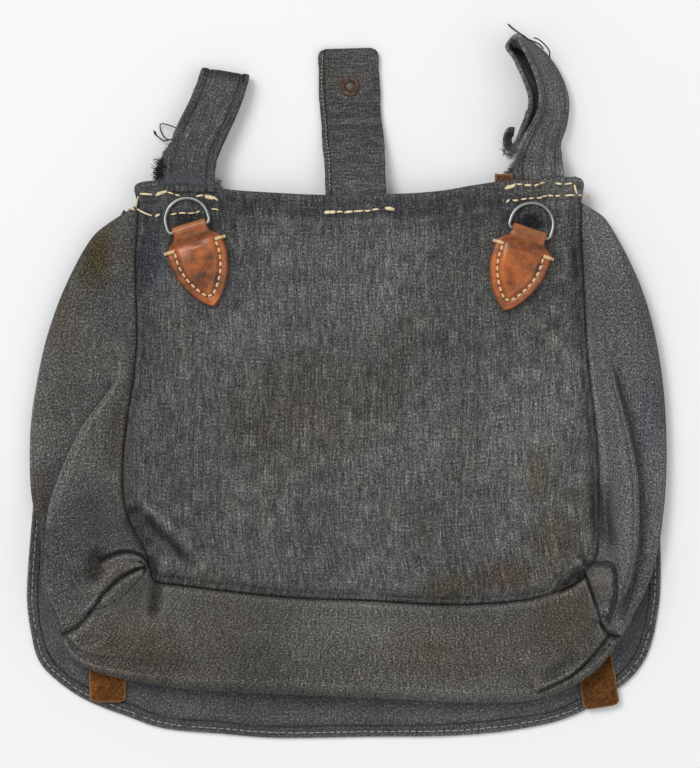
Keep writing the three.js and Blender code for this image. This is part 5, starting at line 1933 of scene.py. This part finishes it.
@dataclass
class Chape:
    """A leaf-shaped chape of saddle leather, folded round a ring's bar and saddle-stitched.

    Attributes:
        side: left or right.
        bar: where the middle of its bar lies, as shares across and down.
        turn: degrees that it is turned.
        tone: its leather's colour on screen.
        length: from the bar to the tip.
        width: across its widest stretch.
        eye: radius inside the fold.
        leather: thickness of one layer.
        stitch_inset: from its edge to the stitches.
        pitch: from one stitch to the next.
    """

    side: str
    bar: Point
    turn: float
    tone: Colour
    length: float = 45.5
    width: float = 33.0
    eye: float = 1.4
    leather: float = 1.8
    stitch_inset: float = 4.3
    pitch: float = 3.75

    OUTLINE = (
        (0.0, 0.6), (0.05, 0.62), (0.1, 0.68), (0.16, 0.9), (0.22, 0.98), (0.32, 1.0),
        (0.45, 0.975), (0.6, 0.87), (0.75, 0.67), (0.88, 0.42), (0.96, 0.2), (1.0, 0.05),
    )

    def half(self, along: Array) -> Array:
        """Half the chape's width at some distance from its bar."""
        fine = smooth_table(np.array(self.OUTLINE), 10)
        return np.interp(along / self.length, fine[:, 0], fine[:, 1]) * self.width / 2

    def into_frame(self, points: Array) -> Array:
        """Places on the chape, tip towards -Y, as places in the frame."""
        placed = points.copy()
        placed[..., :2] = turned(points[..., :2], self.turn) + PLAN.shares(*self.bar)
        placed[..., 2] += node_box(f"{self.side}_chape")[0, 2]
        return placed

    def edge_line(self, inset: float) -> Array:
        """The stitch line inside the leaf's edge, from its left shoulder round the tip."""
        along = np.linspace(0.21 * self.length, self.length, 160)
        half = self.half(along)
        left = np.column_stack([-half, -along])
        right = np.column_stack([half, -along])[::-1]
        outline = evenly(np.concatenate([left, right]), 400)
        line = outline + left_of(outline) * inset
        inside = np.abs(line[:, 0]) < self.half(-line[:, 1]) - inset * 0.93
        tip = line[:, 1] > -self.length + inset * 1.25
        return evenly(line[inside & tip], 200)

    def build(self) -> None:
        """Makes the leather and its stitches."""
        stitch_line = self.edge_line(self.stitch_inset)
        holes = evenly(stitch_line, int(run_along(stitch_line)[-1] / self.pitch) + 1)
        barrel = self.eye + self.leather
        top_rows, fold_rows, under_rows = 74, 13, 50
        columns = np.linspace(-1, 1, 57)
        path = [(-a, 2 * self.leather, a) for a in np.linspace(self.length - 0.6, 1.0, top_rows)]
        for angle in np.linspace(math.pi / 2, -math.pi / 2, fold_rows):
            path.append((math.cos(angle) * barrel, barrel + math.sin(angle) * barrel, 0.5))
        path += [(-a, 0.0, a) for a in np.linspace(1.0, self.length, under_rows)]
        outer, inner = [], []
        for index, (y, z, a) in enumerate(path):
            upper = index < top_rows
            half = float(self.half(np.array([a]))[0]) * (0.985 if upper else 1.0)
            x = columns * half
            flat = np.column_stack([x, np.full_like(x, y)])
            if upper:
                neck = 1 - smoothstep(np.array(a), 3.0, 9.0)
                base = z + (2 * barrel - z) * float(neck) ** 1.3
                outer.append(lifted(flat, base + self.relief(flat, a, half, stitch_line, holes)))
                inner.append(lifted(flat, base - self.leather))
                continue
            outer.append(lifted(flat, z))
            point = np.array([y, z])
            if index < top_rows + fold_rows:
                point = point + unit(np.array([0.0, barrel]) - point) * self.leather
            else:
                point = point + (0, self.leather - 0.05)
            inner.append(lifted(np.column_stack([x, np.full_like(x, point[0])]), point[1]))
        net = Net(self.into_frame(np.array(outer)))
        net.crevice = self.shade(np.array(outer), top_rows, holes)
        writer = MeshWriter()
        writer.add_net(net, self.into_frame(np.array(inner)))
        leather = SaddleLeather(f"{self.side}_chape_leather", tone=self.tone)
        name = f"{self.side}_chape"
        piece = writer.write(f"{name}_leather", leather, Slot.CHAPE, name)
        self.sew(holes, Ground(piece))

    def relief(self, places: Array, along: float, half: float, line: Array, holes: Array) -> Array:
        """How the upper layer stands above its own flat level.

        Args:
            places: a row across the leaf, tip towards -Y.
            along: distance from the bar.
            half: half the leaf's width here.
            line: the stitch line.
            holes: where the thread goes in.

        Returns:
            Heights for the places.
        """
        x, y = places.T
        gap = gap_to(line[::2], places)
        inside = smoothstep(gap, 0.2, 3.4) * smoothstep(half - self.stitch_inset - np.abs(x), 0.0, 2.0)
        inside = inside * float(smoothstep(np.array(along), 0.08 * self.length, 0.4 * self.length))
        lengthwise = math.sin(min(along / self.length, 1.0) * math.pi) ** 0.6
        dome = (1.0 + 0.9 * (1 - (x / half) ** 2)) * inside * lengthwise
        groove = -0.45 * bell(gap, 0.8) * float(along > 0.19 * self.length)
        pricks = -0.5 * bell(gap_to(holes, places), 0.5)
        fold = -0.4 * bell(along - 8.5, 1.2) * bell(x - 2, 3.5)
        fold = fold + 0.45 * noise(x * 0.45, y, 2.7, 21) * bell(along - 9.0, 4.5)
        rounded = -0.55 * bell(half - np.abs(x), 0.7)
        uneven = 0.3 * noise(x, y, 8, 5 if self.side == "left" else 6)
        return dome + groove + pricks + fold + rounded + uneven * smoothstep(half - np.abs(x), 0, 3)

    def shade(self, flat: Array, rows_top: int, holes: Array) -> Array:
        """How much painted shade each point of the leather takes: in the stitch holes, in the creased neck
        and on the under layer, and how much darker it is along the rim.
        """
        dark = np.zeros(flat.shape[:2])
        near = gap_to(holes, flat[:rows_top, :, :2].reshape(-1, 2)).reshape(rows_top, -1)
        dark[:rows_top] = bell(near, 0.8)
        along = -flat[:rows_top, :, 1]
        across = flat[:rows_top, :, 0]
        dark[:rows_top] += 0.4 * bell(along - 8.5, 1.6) * bell(across - 2, 4.0)
        half = np.maximum(self.half(along.ravel()).reshape(along.shape), 0.1)
        rim = np.clip((half - np.abs(across)) / 1.7, 0, 1)
        dark[:rows_top] += 0.75 * (1 - rim)
        neck = 1 - smoothstep(along, 5.0, 11.0)
        dark[:rows_top] += 0.35 * neck * smoothstep(noise(across, along, 3.1, 19), 0.0, 0.7)
        # painted shade on the under layer, beneath the fold
        dark[rows_top:] = 0.15
        return np.clip(dark, 0, 1)

    def sew(self, holes: Array, ground: Ground) -> None:
        """Saddle stitches between the holes, and a bar tack over each shoulder."""
        writer = MeshWriter()
        floor = node_box(f"{self.side}_chape")[0, 2]
        t = np.linspace(0.2, 0.8, 7)
        arch = np.sin(np.linspace(0.08, 0.92, 7) * math.pi)
        for a, b in zip(holes[:-1], holes[1:]):
            line = self.into_frame(lifted(a + t[:, None] * (b - a), 0))
            height = ground.heights(line)
            line[:, 2] = height.max() * 0.5 + height * 0.5 + 0.42 * arch - 0.25
            writer.add_tube(line, 0.6 * (0.75 + 0.35 * arch), 8)
        for end in (holes[0], holes[-1]):
            edge = float(self.half(np.array([-end[1]]))[0])
            across = np.linspace(end[0], math.copysign(edge + 1.5, end[0]), 9)
            for shift in (0.4, 1.15):
                line = self.into_frame(np.column_stack([across, np.full(9, end[1] + shift), np.zeros(9)]))
                height = ground.heights(line)
                height[-1] = height[-2] - 1.6
                line[:, 2] = np.maximum(height, floor) + 0.4
                writer.add_tube(line, 0.55, 8)
        thread = Thread(f"{self.side}_chape_thread", tone=(232, 196, 150))
        writer.write(f"{self.side}_chape_stitches", thread, Slot.CHAPE)


@dataclass
class Ring:
    """A half-round steel ring whose bar lies in a chape's fold.

    Attributes:
        side: left or right.
        turn: degrees that it is turned with its chape.
        wire: thickness of the wire.
        width: to the middle of the wire.
        height: from the bar to the top of the bow, to the middle of the wire.
        corner: bend radius at the ends of the bar.
    """

    side: str
    turn: float
    wire: float = 2.2
    width: float = 24.2
    height: float = 17.4
    corner: float = 2.6

    def path(self) -> Array:
        """The wire's middle line in the ring's own plane, its bar along X."""
        half = self.width / 2
        arc = lambda cx, cy, r, a, b, n: [  # noqa: E731
            (cx + r * math.cos(t), cy + r * math.sin(t)) for t in np.linspace(a, b, n)
        ]
        points = (
            arc(-half + self.corner, self.corner, self.corner, math.pi, 1.5 * math.pi, 8)
            + arc(half - self.corner, self.corner, self.corner, -math.pi / 2, 0, 8)
            + arc(0, self.height - half, half, 0, math.pi, 40)
        )
        closed = np.array(points + points[:1])
        return evenly(closed, 97)[:-1]

    def build(self) -> bpy.types.Object:
        """Makes the ring on its own body."""
        joint = next(j for j in frame["joints"] if j["child"] == f"{self.side}_ring")
        bar = np.array(joint["pos_m"]) / MM
        lowest = node_box(f"{self.side}_ring")[0, 2]
        tilt = -math.asin((bar[2] - lowest - self.wire / 2) / self.height)
        path = self.path()
        ahead = unit(np.roll(path, -1, axis=0) - np.roll(path, 1, axis=0))
        sides = 18
        angle = angles(sides)
        out = np.stack([ahead[:, 1], -ahead[:, 0]], axis=1)
        ring = np.zeros((len(path), sides, 3))
        ring[..., :2] = path[:, None] + out[:, None] * (np.cos(angle) * self.wire / 2)[None, :, None]
        ring[..., 2] = np.sin(angle) * self.wire / 2
        spin = Matrix.Rotation(math.radians(self.turn), 3, "Z") @ Matrix.Rotation(tilt, 3, "X")
        points = ring.reshape(-1, 3) @ np.array(spin).T + bar
        index = np.arange(len(path) * sides).reshape(len(path), sides)
        next_ring, next_side = np.roll(index, -1, axis=0), np.roll(index, -1, axis=1)
        both = np.roll(next_ring, -1, axis=1)
        faces = np.stack([index.ravel(), next_ring.ravel(), both.ravel(), next_side.ravel()], axis=1)
        writer = MeshWriter()
        writer.add(points, faces)
        name = f"{self.side}_ring"
        steel = OldSteel(f"{name}_steel", rust=0.1 if self.side == "left" else 0.22)
        return writer.write(f"{name}_wire", steel, Slot.STEEL, name, body=name)


# Small leather and metal


@dataclass
class ClosingStrap:
    """The end of a closing strap that comes out past the base, of suede.

    Attributes:
        side: left or right.
        at: the middle of its end, as shares across and down.
        turn: degrees that it is turned.
        width: across the strap.
        length: of what is built.
        thickness: of the leather.
        corner: radius of its end's corners.
    """

    side: str
    at: Point
    turn: float
    width: float = 20.5
    length: float = 62.0
    thickness: float = 2.0
    corner: float = 3.5

    def build(self) -> bpy.types.Object:
        """Makes the strap."""
        floor = node_box(f"{self.side}_closing_strap")[0, 2]
        along = np.concatenate([np.linspace(0, 4, 9)[:-1], np.linspace(4, self.length, 52)])
        across = np.linspace(-1, 1, 31)
        past = self.corner - np.minimum(along, self.corner)
        inset = self.corner - np.sqrt(self.corner**2 - past**2)
        half = self.width / 2 - inset + 0.25 * ripple(along, 7, 12)
        x = across[None] * half[:, None]
        y = np.broadcast_to(along[:, None], x.shape)
        edge = half[:, None] - np.abs(x)
        rounding = -0.5 * (bell(edge, 0.7) + bell(y, 0.7))
        z = floor + self.thickness + rounding + 0.22 * noise(x, y, 6, 77)
        flat = turned(np.stack([x, y], axis=2), self.turn) + PLAN.shares(*self.at)
        top, bottom = (np.dstack([flat, level]) for level in (z, np.full_like(z, floor)))
        # painted shade where the strap runs in under the bag
        crevice = 0.3 * smoothstep(y, 20, 26)
        wear = np.clip(bell(edge, 0.6) + bell(y, 0.6), 0, 1)
        writer = MeshWriter()
        writer.add_slab(top, bottom, weave=Net(top).weave(), crevice=crevice, wear=wear)
        name = f"{self.side}_closing_strap"
        suede = Suede(f"{name}_suede", tone=(98, 62, 30) if self.side == "left" else (88, 56, 28))
        return writer.write(f"{name}_suede", suede, Slot.STRAP, name)


@dataclass
class BackingPatch:
    """The corner of brown leather that backs the right belt loop.

    Attributes:
        ragged: how uneven its cut edge is.
    """

    ragged: float = 0.5

    def build(self) -> bpy.types.Object:
        """Makes the patch."""
        low, high = node_box("backing_patch")
        u, v = np.meshgrid(np.linspace(0, 1, 25), np.linspace(0, 1, 31))
        x = low[0] + u * (high[0] - low[0])
        y = low[1] + v * (high[1] - low[1]) + self.ragged * v**6 * ripple(x, 2.2, 15)
        round_edge = np.minimum(np.minimum(u, 1 - u) * (high[0] - low[0]), (1 - v) * (high[1] - low[1]))
        z = high[2] - 0.5 * bell(round_edge, 0.6) + 0.12 * noise(x, y, 2.5, 16)
        top = np.stack([x, y, z], axis=2)
        bottom = np.stack([x, y, np.full_like(z, low[2])], axis=2)
        wear = np.clip(bell(round_edge, 0.7), 0, 1)
        writer = MeshWriter()
        writer.add_slab(top, bottom, weave=Net(top).weave(), crevice=np.zeros_like(z), wear=wear)
        suede = Suede("backing_leather", tone=(88, 60, 42))
        return writer.write("backing_patch_leather", suede, Slot.STRAP, "backing_patch")


@dataclass
class TabRivet:
    """The rusted rivet in the centre tab, sunk into felted cloth.

    Attributes:
        head: across its head.
        core: across its shank.
    """

    head: float = 10.6
    core: float = 4.8

    def build(self) -> bpy.types.Object:
        """Makes the rivet."""
        low, high = node_box("tab_rivet")
        middle = (low + high)[:2] / 2
        foot, top = low[2], high[2]
        rim, shank = self.head / 2, self.core / 2
        profile = [
            (0.0, foot + 0.02), (rim - 0.3, foot + 0.02), (rim, foot + 0.3), (rim - 0.2, foot + 0.8),
            (shank, foot + 0.85), (shank, top - 1.0), (rim - 0.5, top - 0.95), (rim, top - 0.6),
            (rim - 0.35, top - 0.15), (rim - 1.0, top), (shank + 0.6, top - 0.1),
            (shank + 0.15, top - 0.45), (shank - 0.4, top - 0.55), (shank * 0.5, top - 0.3),
            (0.0, top - 0.25),
        ]
        sides = 56
        wheel = np.stack([np.cos(angles(sides)), np.sin(angles(sides))], axis=1)
        bite = 0.45 * noise(*(wheel.T * 9), 3.0, 3)
        rings = []
        for radius, height in profile[1:-1]:
            upper = height > foot + 1
            worn = radius + bite * (radius > shank + 0.1) * upper
            pit = 0.12 * noise(*(wheel.T * radius), 1.1, 8) * upper
            rings.append(lifted(middle + wheel * worn[:, None], height + pit))
        vertices = np.vstack([*rings, (*middle, profile[0][1]), (*middle, profile[-1][1])])
        radii = np.array([radius for radius, _ in profile[1:-1]])
        bright = np.append(np.repeat((radii < shank - 0.2) * 0.8, sides), (0.0, 0.8))
        # painted shade in the groove round the shank
        groove = np.append(np.repeat(bell(radii - shank - 0.1, 0.5), sides), (0.0, 0.0))
        writer = MeshWriter()
        writer.add(vertices, tube_faces(len(rings), sides), wear=bright, crevice=groove)
        steel = OldSteel("rivet_rust", rust=0.85, tone=(120, 118, 116))
        return writer.write("tab_rivet_metal", steel, Slot.STEEL, "tab_rivet")


# Torn ends and loose threads


@dataclass
class Fraying:
    """Fibres that stand out of torn cloth.

    Attributes:
        name: the piece's name.
        along: the torn edge, on the bag.
        out: which way its fibres point.
        count: how many there are.
        length: how long they are.
        finish: their thread.
        radius: how thick each is.
        height: how high above its ground each starts.
        spread: how far they turn from that way.
        depth: over how wide a band they start, behind the edge.
        seed: which way each one falls.
    """

    name: str
    along: tuple[Point, ...]
    out: Point
    count: int
    length: float
    finish: Thread
    radius: float = 0.16
    height: float = 0.3
    spread: float = 0.9
    depth: float = 0.6
    seed: int = 3

    def build(self, ground: Ground) -> bpy.types.Object:
        """Makes the fibres as one mesh.

        Args:
            ground: what they lie on.

        Returns:
            The tuft.
        """
        chance = np.random.default_rng(self.seed)
        edge = PLAN.place(curve_through(self.along, 60))
        heading = math.atan2(self.out[1], self.out[0])
        writer = MeshWriter()
        for _ in range(self.count):
            start = edge[chance.integers(len(edge))] + chance.normal(0, 0.35, 2)
            start -= np.array(self.out) * self.depth * chance.random() ** 1.4
            turn = heading + chance.normal(0, self.spread)
            curl = chance.normal(0, 0.5)
            size = self.length * chance.uniform(0.35, 1.15)
            place = start.copy()
            base = ground.height(*start) + self.height * chance.uniform(0.2, 1.6)
            points = []
            steps = 6
            for step in range(steps):
                t = step / (steps - 1)
                floor = ground.height(*place) + self.radius + 0.05
                rise = size * 0.18 * math.sin(t * 2.4) * chance.uniform(0.4, 1.2)
                points.append((*place, max(floor, base + rise - t * 0.8)))
                turn += curl * 0.5 + chance.normal(0, 0.25)
                place = place + np.array([math.cos(turn), math.sin(turn)]) * size / steps
            writer.add_tube(np.array(points), self.radius * np.linspace(1, 0.6, steps), 5)
        return writer.write(self.name, self.finish, Slot.CLOTH)


@dataclass(frozen=True)
class LooseThread:
    """A thread that has come out of a seam.

    Attributes:
        course: its course on the bag, with heights over the table.
        radius: half its thickness.
    """

    course: tuple[Spot, ...]
    radius: float = 0.34


LOOSE_THREADS = (
    LooseThread((
        (90.4, 88.8, 0.8), (92.4, 86.9, 0.8), (95.9, 84.1, 3.0), (101.3, 79.3, 14.0), (106.9, 76.5, 18.0),
        (109.5, 73.9, 16.0),
    ), 0.42),
    LooseThread((
        (104.6, 80.6, 8.0), (107.0, 79.6, 10.0), (110.4, 76.6, 12.0), (113.2, 73.0, 10.0),
        (113.4, 69.6, 8.0),
    ), 0.38),
    LooseThread((
        (-95.0, 29.0, 8.0), (-99.7, 31.2, 6.0), (-104.6, 32.5, 3.0), (-106.0, 31.5, 2.0),
        (-105.4, 28.0, 1.5),
        (-103.5, 24.8, 3.0), (-101.0, 23.4, 6.0), (-98.0, 23.6, 8.0),
    )),
    LooseThread(((-109.3, 27.2, 0.8), (-106.9, 25.1, 1.0), (-103.6, 23.0, 3.0), (-99.5, 23.6, 7.0))),
    LooseThread(((-109.6, 28.4, 0.8), (-108.8, 27.6, 0.8), (-108.9, 26.8, 0.8)), 0.5),
)


@dataclass
class TornPatch:
    """Torn cloth beside a loop, between two edge lines.

    Attributes:
        name: the piece's name.
        left: its torn edge on the bag.
        right: the edge that still holds to the loop.
        canvas: its cloth.
        droop: how far its torn edge hangs under the edge that holds.
        ragged: how uneven the torn edge is.
        lift: how far the holding edge lies above the loop.
        seed: which unevenness it has.
        thickness: of the cloth.
        floor: lowest that its upper face may lie.
    """

    name: str
    left: tuple[Point, ...]
    right: tuple[Point, ...]
    canvas: WoolCanvas
    droop: float = 2.0
    ragged: float = 0.9
    lift: float = 0.35
    seed: int = 61
    thickness: float = 1.4
    floor: float = 1.8

    def build(self, ground: Ground) -> bpy.types.Object:
        """Makes the patch.

        Args:
            ground: what it lies on.

        Returns:
            The torn cloth.
        """
        rows, columns = 70, 40
        a, b = (PLAN.place(curve_through(edge, rows)) for edge in (self.left, self.right))
        u = np.linspace(0, 1, columns)[None, :, None]
        flat = a[:, None] * (1 - u) + b[:, None] * u
        free = 1 - u[..., 0]
        x, y = flat[..., 0], flat[..., 1]
        tear = self.ragged * (ripple(y, 1.9, self.seed) + 0.6 * ripple(y, 0.8, self.seed + 1))
        x = x + tear * free**3
        held = np.convolve(np.pad(ground.heights(b), 4, mode="edge"), np.ones(9) / 9, mode="valid")
        z = held[:, None] + self.lift - self.droop * free**2 + 0.5 * noise(x, y, 5, self.seed + 2) * free
        net = Net(np.stack([x, y, np.maximum(z, self.floor)], axis=2))
        net.crevice = 0.25 * np.clip(noise(x, y, 3.0, self.seed + 3), 0, 1) * free
        writer = MeshWriter()
        writer.add_net(net, net.points - (0, 0, self.thickness))
        return writer.write(self.name, self.canvas, Slot.CLOTH)


@dataclass
class CurledEnd:
    """The torn end of a loop's under layer, curled up on its edge.

    Attributes:
        name: the piece's name.
        course: its middle line on the bag, with heights over the table.
        canvas: its cloth.
        width: across the strip.
        lean: degrees that it leans from lying flat.
        thickness: of the cloth.
        floor: lowest that its upper face may lie.
    """

    name: str
    course: tuple[Spot, ...]
    canvas: WoolCanvas
    width: float = 11.0
    lean: float = 52.0
    thickness: float = 1.5
    floor: float = 1.6

    def build(self) -> bpy.types.Object:
        """Makes the strip."""
        line = curve_through(self.course, 90)
        line[:, :2] = PLAN.place(line[:, :2])
        side = lifted(left_of(line[:, :2]), 0)
        lean = math.radians(self.lean)
        across = side * math.cos(lean) + np.array([0, 0, math.sin(lean)])
        w = np.linspace(-0.5, 0.5, 26)
        run = np.linspace(0, 1, len(line))[:, None]
        wide = self.width * (1 - 0.25 * run) + 0.7 * ripple(run * 40, 4, 71)
        points = line[:, None] + across[:, None] * (w[None, :] * wide)[..., None]
        points[..., 2] = np.maximum(points[..., 2], self.floor)
        net = Net(points)
        writer = MeshWriter()
        writer.add_net(net, net.beneath(self.thickness))
        return writer.write(self.name, self.canvas, Slot.CLOTH)


def sewn_row(line: tuple[Point, ...], pitch: float, share: float, radius: float) -> tuple[Stitch, ...]:
    """A row of even machine stitches.

    Args:
        line: where it runs on the bag.
        pitch: from one stitch to the next.
        share: how much of that each stitch covers.
        radius: half the thread's thickness.

    Returns:
        The stitches.
    """
    fine = curve_through(line, 400)
    ends = evenly(fine, int(run_along(fine)[-1] / pitch) + 1)
    return tuple(
        Stitch(tuple(a), tuple(a + (b - a) * share), radius, 0.12) for a, b in zip(ends[:-1], ends[1:])
    )


TAB_SEAM = (
    (-14.1, 71.5), (-15.0, 59.6), (-14.1, 45.0), (-12.9, 36.0), (-12.2, 24.2), (-10.9, 13.5),
    (-10.5, 0.6), (-10.0, -6.0),
)


SEWING = (
    HandSewing("left_hand_stitches", LEFT_SEWING, CREAM, seed=7),
    HandSewing("right_hand_stitches", RIGHT_SEWING, CREAM, seed=8),
    HandSewing("tab_hand_stitches", MIDDLE_SEWING, CREAM, seed=9),
    HandSewing(
        "tab_seam_stitches", sewn_row(TAB_SEAM, 2.1, 0.62, 0.24),
        Thread("tab_thread", tone=(186, 166, 158)), seed=5,
    ),
)
PALE_FIBRES = Thread("pale_fibres", tone=(106, 108, 116), twist=0.5)
DARK_FIBRES = Thread("dark_fibres", tone=(40, 40, 44), twist=0.5)
LIGHT_CANVAS = WoolCanvas("torn_light_canvas", tone=(88, 88, 88), brown=0.06, streaks=(0.6, 0.4))
TORN_PATCHES = (
    TornPatch(
        "left_loop_torn_edge",
        ((-98.0, 27.0), (-101.5, 19.0), (-105.2, 12.8), (-105.8, 7.0), (-105.2, 1.5), (-104.2, -2.4)),
        ((-92.0, 27.0), (-91.5, 19.0), (-91.5, 12.8), (-91.5, 7.0), (-91.0, 1.5), (-90.0, -3.2)),
        WoolCanvas("torn_loop_canvas", tone=(78, 78, 78), brown=0.1, streaks=(0.6, 0.4)),
    ),
    TornPatch(
        "right_loop_torn_edge",
        ((101.0, 25.0), (98.6, 17.5), (94.5, 10.5), (91.0, 6.0), (88.3, 0.8)),
        ((110.0, 25.0), (110.0, 17.5), (109.5, 10.5), (109.0, 6.0), (108.6, 0.8)),
        LIGHT_CANVAS, droop=5.0, seed=63,
    ),
)
TORN_END = CurledEnd(
    "right_loop_torn_end",
    (
        (104.0, 39.0, 12.0), (101.4, 31.0, 10.0), (98.5, 23.0, 8.0), (94.5, 18.2, 7.0), (90.6, 18.6, 7.0),
        (89.0, 23.0, 7.5), (90.6, 28.0, 8.0), (93.6, 28.2, 8.0),
    ),
    LIGHT_CANVAS, width=8.5, lean=52.0,
)
FRAYINGS = (
    Fraying(
        "left_loop_fray", ((-104.6, -1.6), (-96.0, -0.6), (-84.0, -2.4), (-72.0, -4.8)), (0.0, -1.0),
        430, 2.6, PALE_FIBRES, depth=6.0, spread=1.3, radius=0.14,
    ),
    Fraying(
        "left_loop_side_fray", ((-100.0, 20.5), (-104.4, 13.0), (-105.6, 6.0), (-104.4, -1.0)), (-1.0, -0.2),
        240, 3.0, PALE_FIBRES, depth=3.0, spread=1.2, radius=0.15, seed=5,
    ),
    Fraying(
        "left_loop_tuft", ((-105.0, 2.6), (-105.4, 6.0), (-104.4, 9.6)), (-1.0, 0.15),
        170, 6.5, DARK_FIBRES, radius=0.24, height=1.2, seed=4,
    ),
    Fraying(
        "right_loop_fray", ((96.0, 13.0), (91.5, 7.0), (88.6, 1.6)), (-0.8, -0.5),
        170, 3.4, PALE_FIBRES, height=0.6, depth=2.0, spread=1.2, seed=6,
    ),
    Fraying(
        "right_end_fray", ((94.0, 16.0), (89.5, 15.5), (87.4, 20.0)), (-0.3, -1.0),
        70, 3.2, PALE_FIBRES, height=1.0, depth=1.5, spread=1.0, seed=9,
    ),
)


# The scene


@dataclass
class Studio:
    """The table, the soft light and the camera straight above.

    Attributes:
        view_middle: where the camera looks, on the bag.
        view_height: what the picture's long side spans at the bag's middle height.
        middle_level: the bag's middle height.
        distance: how high the camera hangs.
        sensor: the camera's film width.
    """

    view_middle: Point = (1.1, -114.2)
    view_height: float = 432.0
    middle_level: float = 9.0
    distance: float = 2600.0
    sensor: float = 36.0

    def build(self) -> None:
        """Makes the table, the lights and the camera."""
        bpy.ops.mesh.primitive_plane_add(size=6.0)
        table = bpy.context.object
        table.name = "table_top"
        table.data.materials.append(Table().build())
        self.light("key", (-1.7, 1.9, 3.1), 2.0, 84.0)
        self.light("fill", (1.1, -0.6, 2.0), 2.2, 9.0)
        world = bpy.data.worlds.new("studio")
        bpy.context.scene.world = world
        world.use_nodes = True
        background = world.node_tree.nodes["Background"]
        background.inputs["Color"].default_value = (0.975, 0.985, 0.985, 1.0)
        background.inputs["Strength"].default_value = 0.53
        scene = bpy.context.scene
        scene.view_settings.view_transform = "Standard"
        scene.view_settings.look = "None"
        camera = bpy.data.cameras.new("camera")
        camera.sensor_fit = "AUTO"
        camera.sensor_width = self.sensor
        camera.lens = self.sensor * (self.distance - self.middle_level) / self.view_height
        camera.clip_end = 20.0
        holder = bpy.data.objects.new("camera", camera)
        x, y = PLAN.place(self.view_middle)
        holder.location = (x * MM, y * MM, self.distance * MM)
        scene.collection.objects.link(holder)
        scene.camera = holder

    @staticmethod
    def light(name: str, at: Spot, size: float, power: float) -> None:
        """Adds one square soft light that faces the bag."""
        lamp = bpy.data.lights.new(name, "AREA")
        lamp.size = size
        lamp.energy = power
        holder = bpy.data.objects.new(name, lamp)
        holder.location = at
        holder.rotation_euler = (-Vector(at)).to_track_quat("-Z", "Y").to_euler()
        bpy.context.scene.collection.objects.link(holder)


def straps() -> list[Strap]:
    """The tab and the two belt loops."""
    return [
        Strap(
            "centre_tab", TAB_SECTIONS, 4.5, 83.0, 34.5,
            WoolCanvas("tab_canvas", tone=(77, 76, 75), brown=0.2, streaks=(0.25, 0.9)),
            floor=1.1, felled=3.4, felled_right=False, corner=4.5, wrinkle=0.5, seed=5,
        ),
        Strap(
            "left_belt_loop", LEFT_LOOP_SECTIONS, -88.5, 62.0, 27.5,
            WoolCanvas("left_loop_canvas", tone=(80, 80, 79), brown=0.12, streaks=(0.8, 0.3)),
            back=Return.OVER, felled=4.6, seed=15,
        ),
        Strap(
            "right_belt_loop", RIGHT_LOOP_SECTIONS, 107.5, 86.0, 27.5,
            WoolCanvas("right_loop_canvas", tone=(96, 96, 95), brown=0.06, streaks=(0.8, 0.3)),
            back=Return.UNDER, felled=4.6, seed=25,
        ),
    ]


def main() -> None:
    """Builds the haversack, piece by piece, and the studio round it."""
    logging.basicConfig(level=logging.INFO, format="%(name)s: %(message)s")
    Studio().build()
    body = Body().build()
    Flap().build()
    made = {strap.name: strap.build() for strap in straps()}
    for side, bar, turn, tone in (
        ("left", (-0.495, 0.092), 17.0, (152, 80, 30)),
        ("right", (0.565, 0.101), -18.0, (144, 74, 26)),
    ):
        Chape(side, bar, turn, tone).build()
        Ring(side, turn).build()
    ClosingStrap("left", (-0.755, 1.002), 0.0).build()
    ClosingStrap("right", (0.797, 1.012), 9.0).build()
    BackingPatch().build()
    TabRivet().build()
    cloth = Ground(*body.values(), *made.values())
    for row in SEWING:
        row.build(cloth)
    torn = [patch.build(cloth) for patch in TORN_PATCHES] + [TORN_END.build()]
    ground = Ground(*body.values(), *made.values(), *torn)
    for fibres in FRAYINGS:
        fibres.build(ground)
    strands = MeshWriter()
    for thread in LOOSE_THREADS:
        course = curve_through(thread.course, 40)
        course[:, :2] = PLAN.place(course[:, :2])
        strands.add_tube(course, thread.radius, 6)
    strands.write("loose_threads", DARK_FIBRES, Slot.CLOTH)


if __name__ == "__main__":
    main()
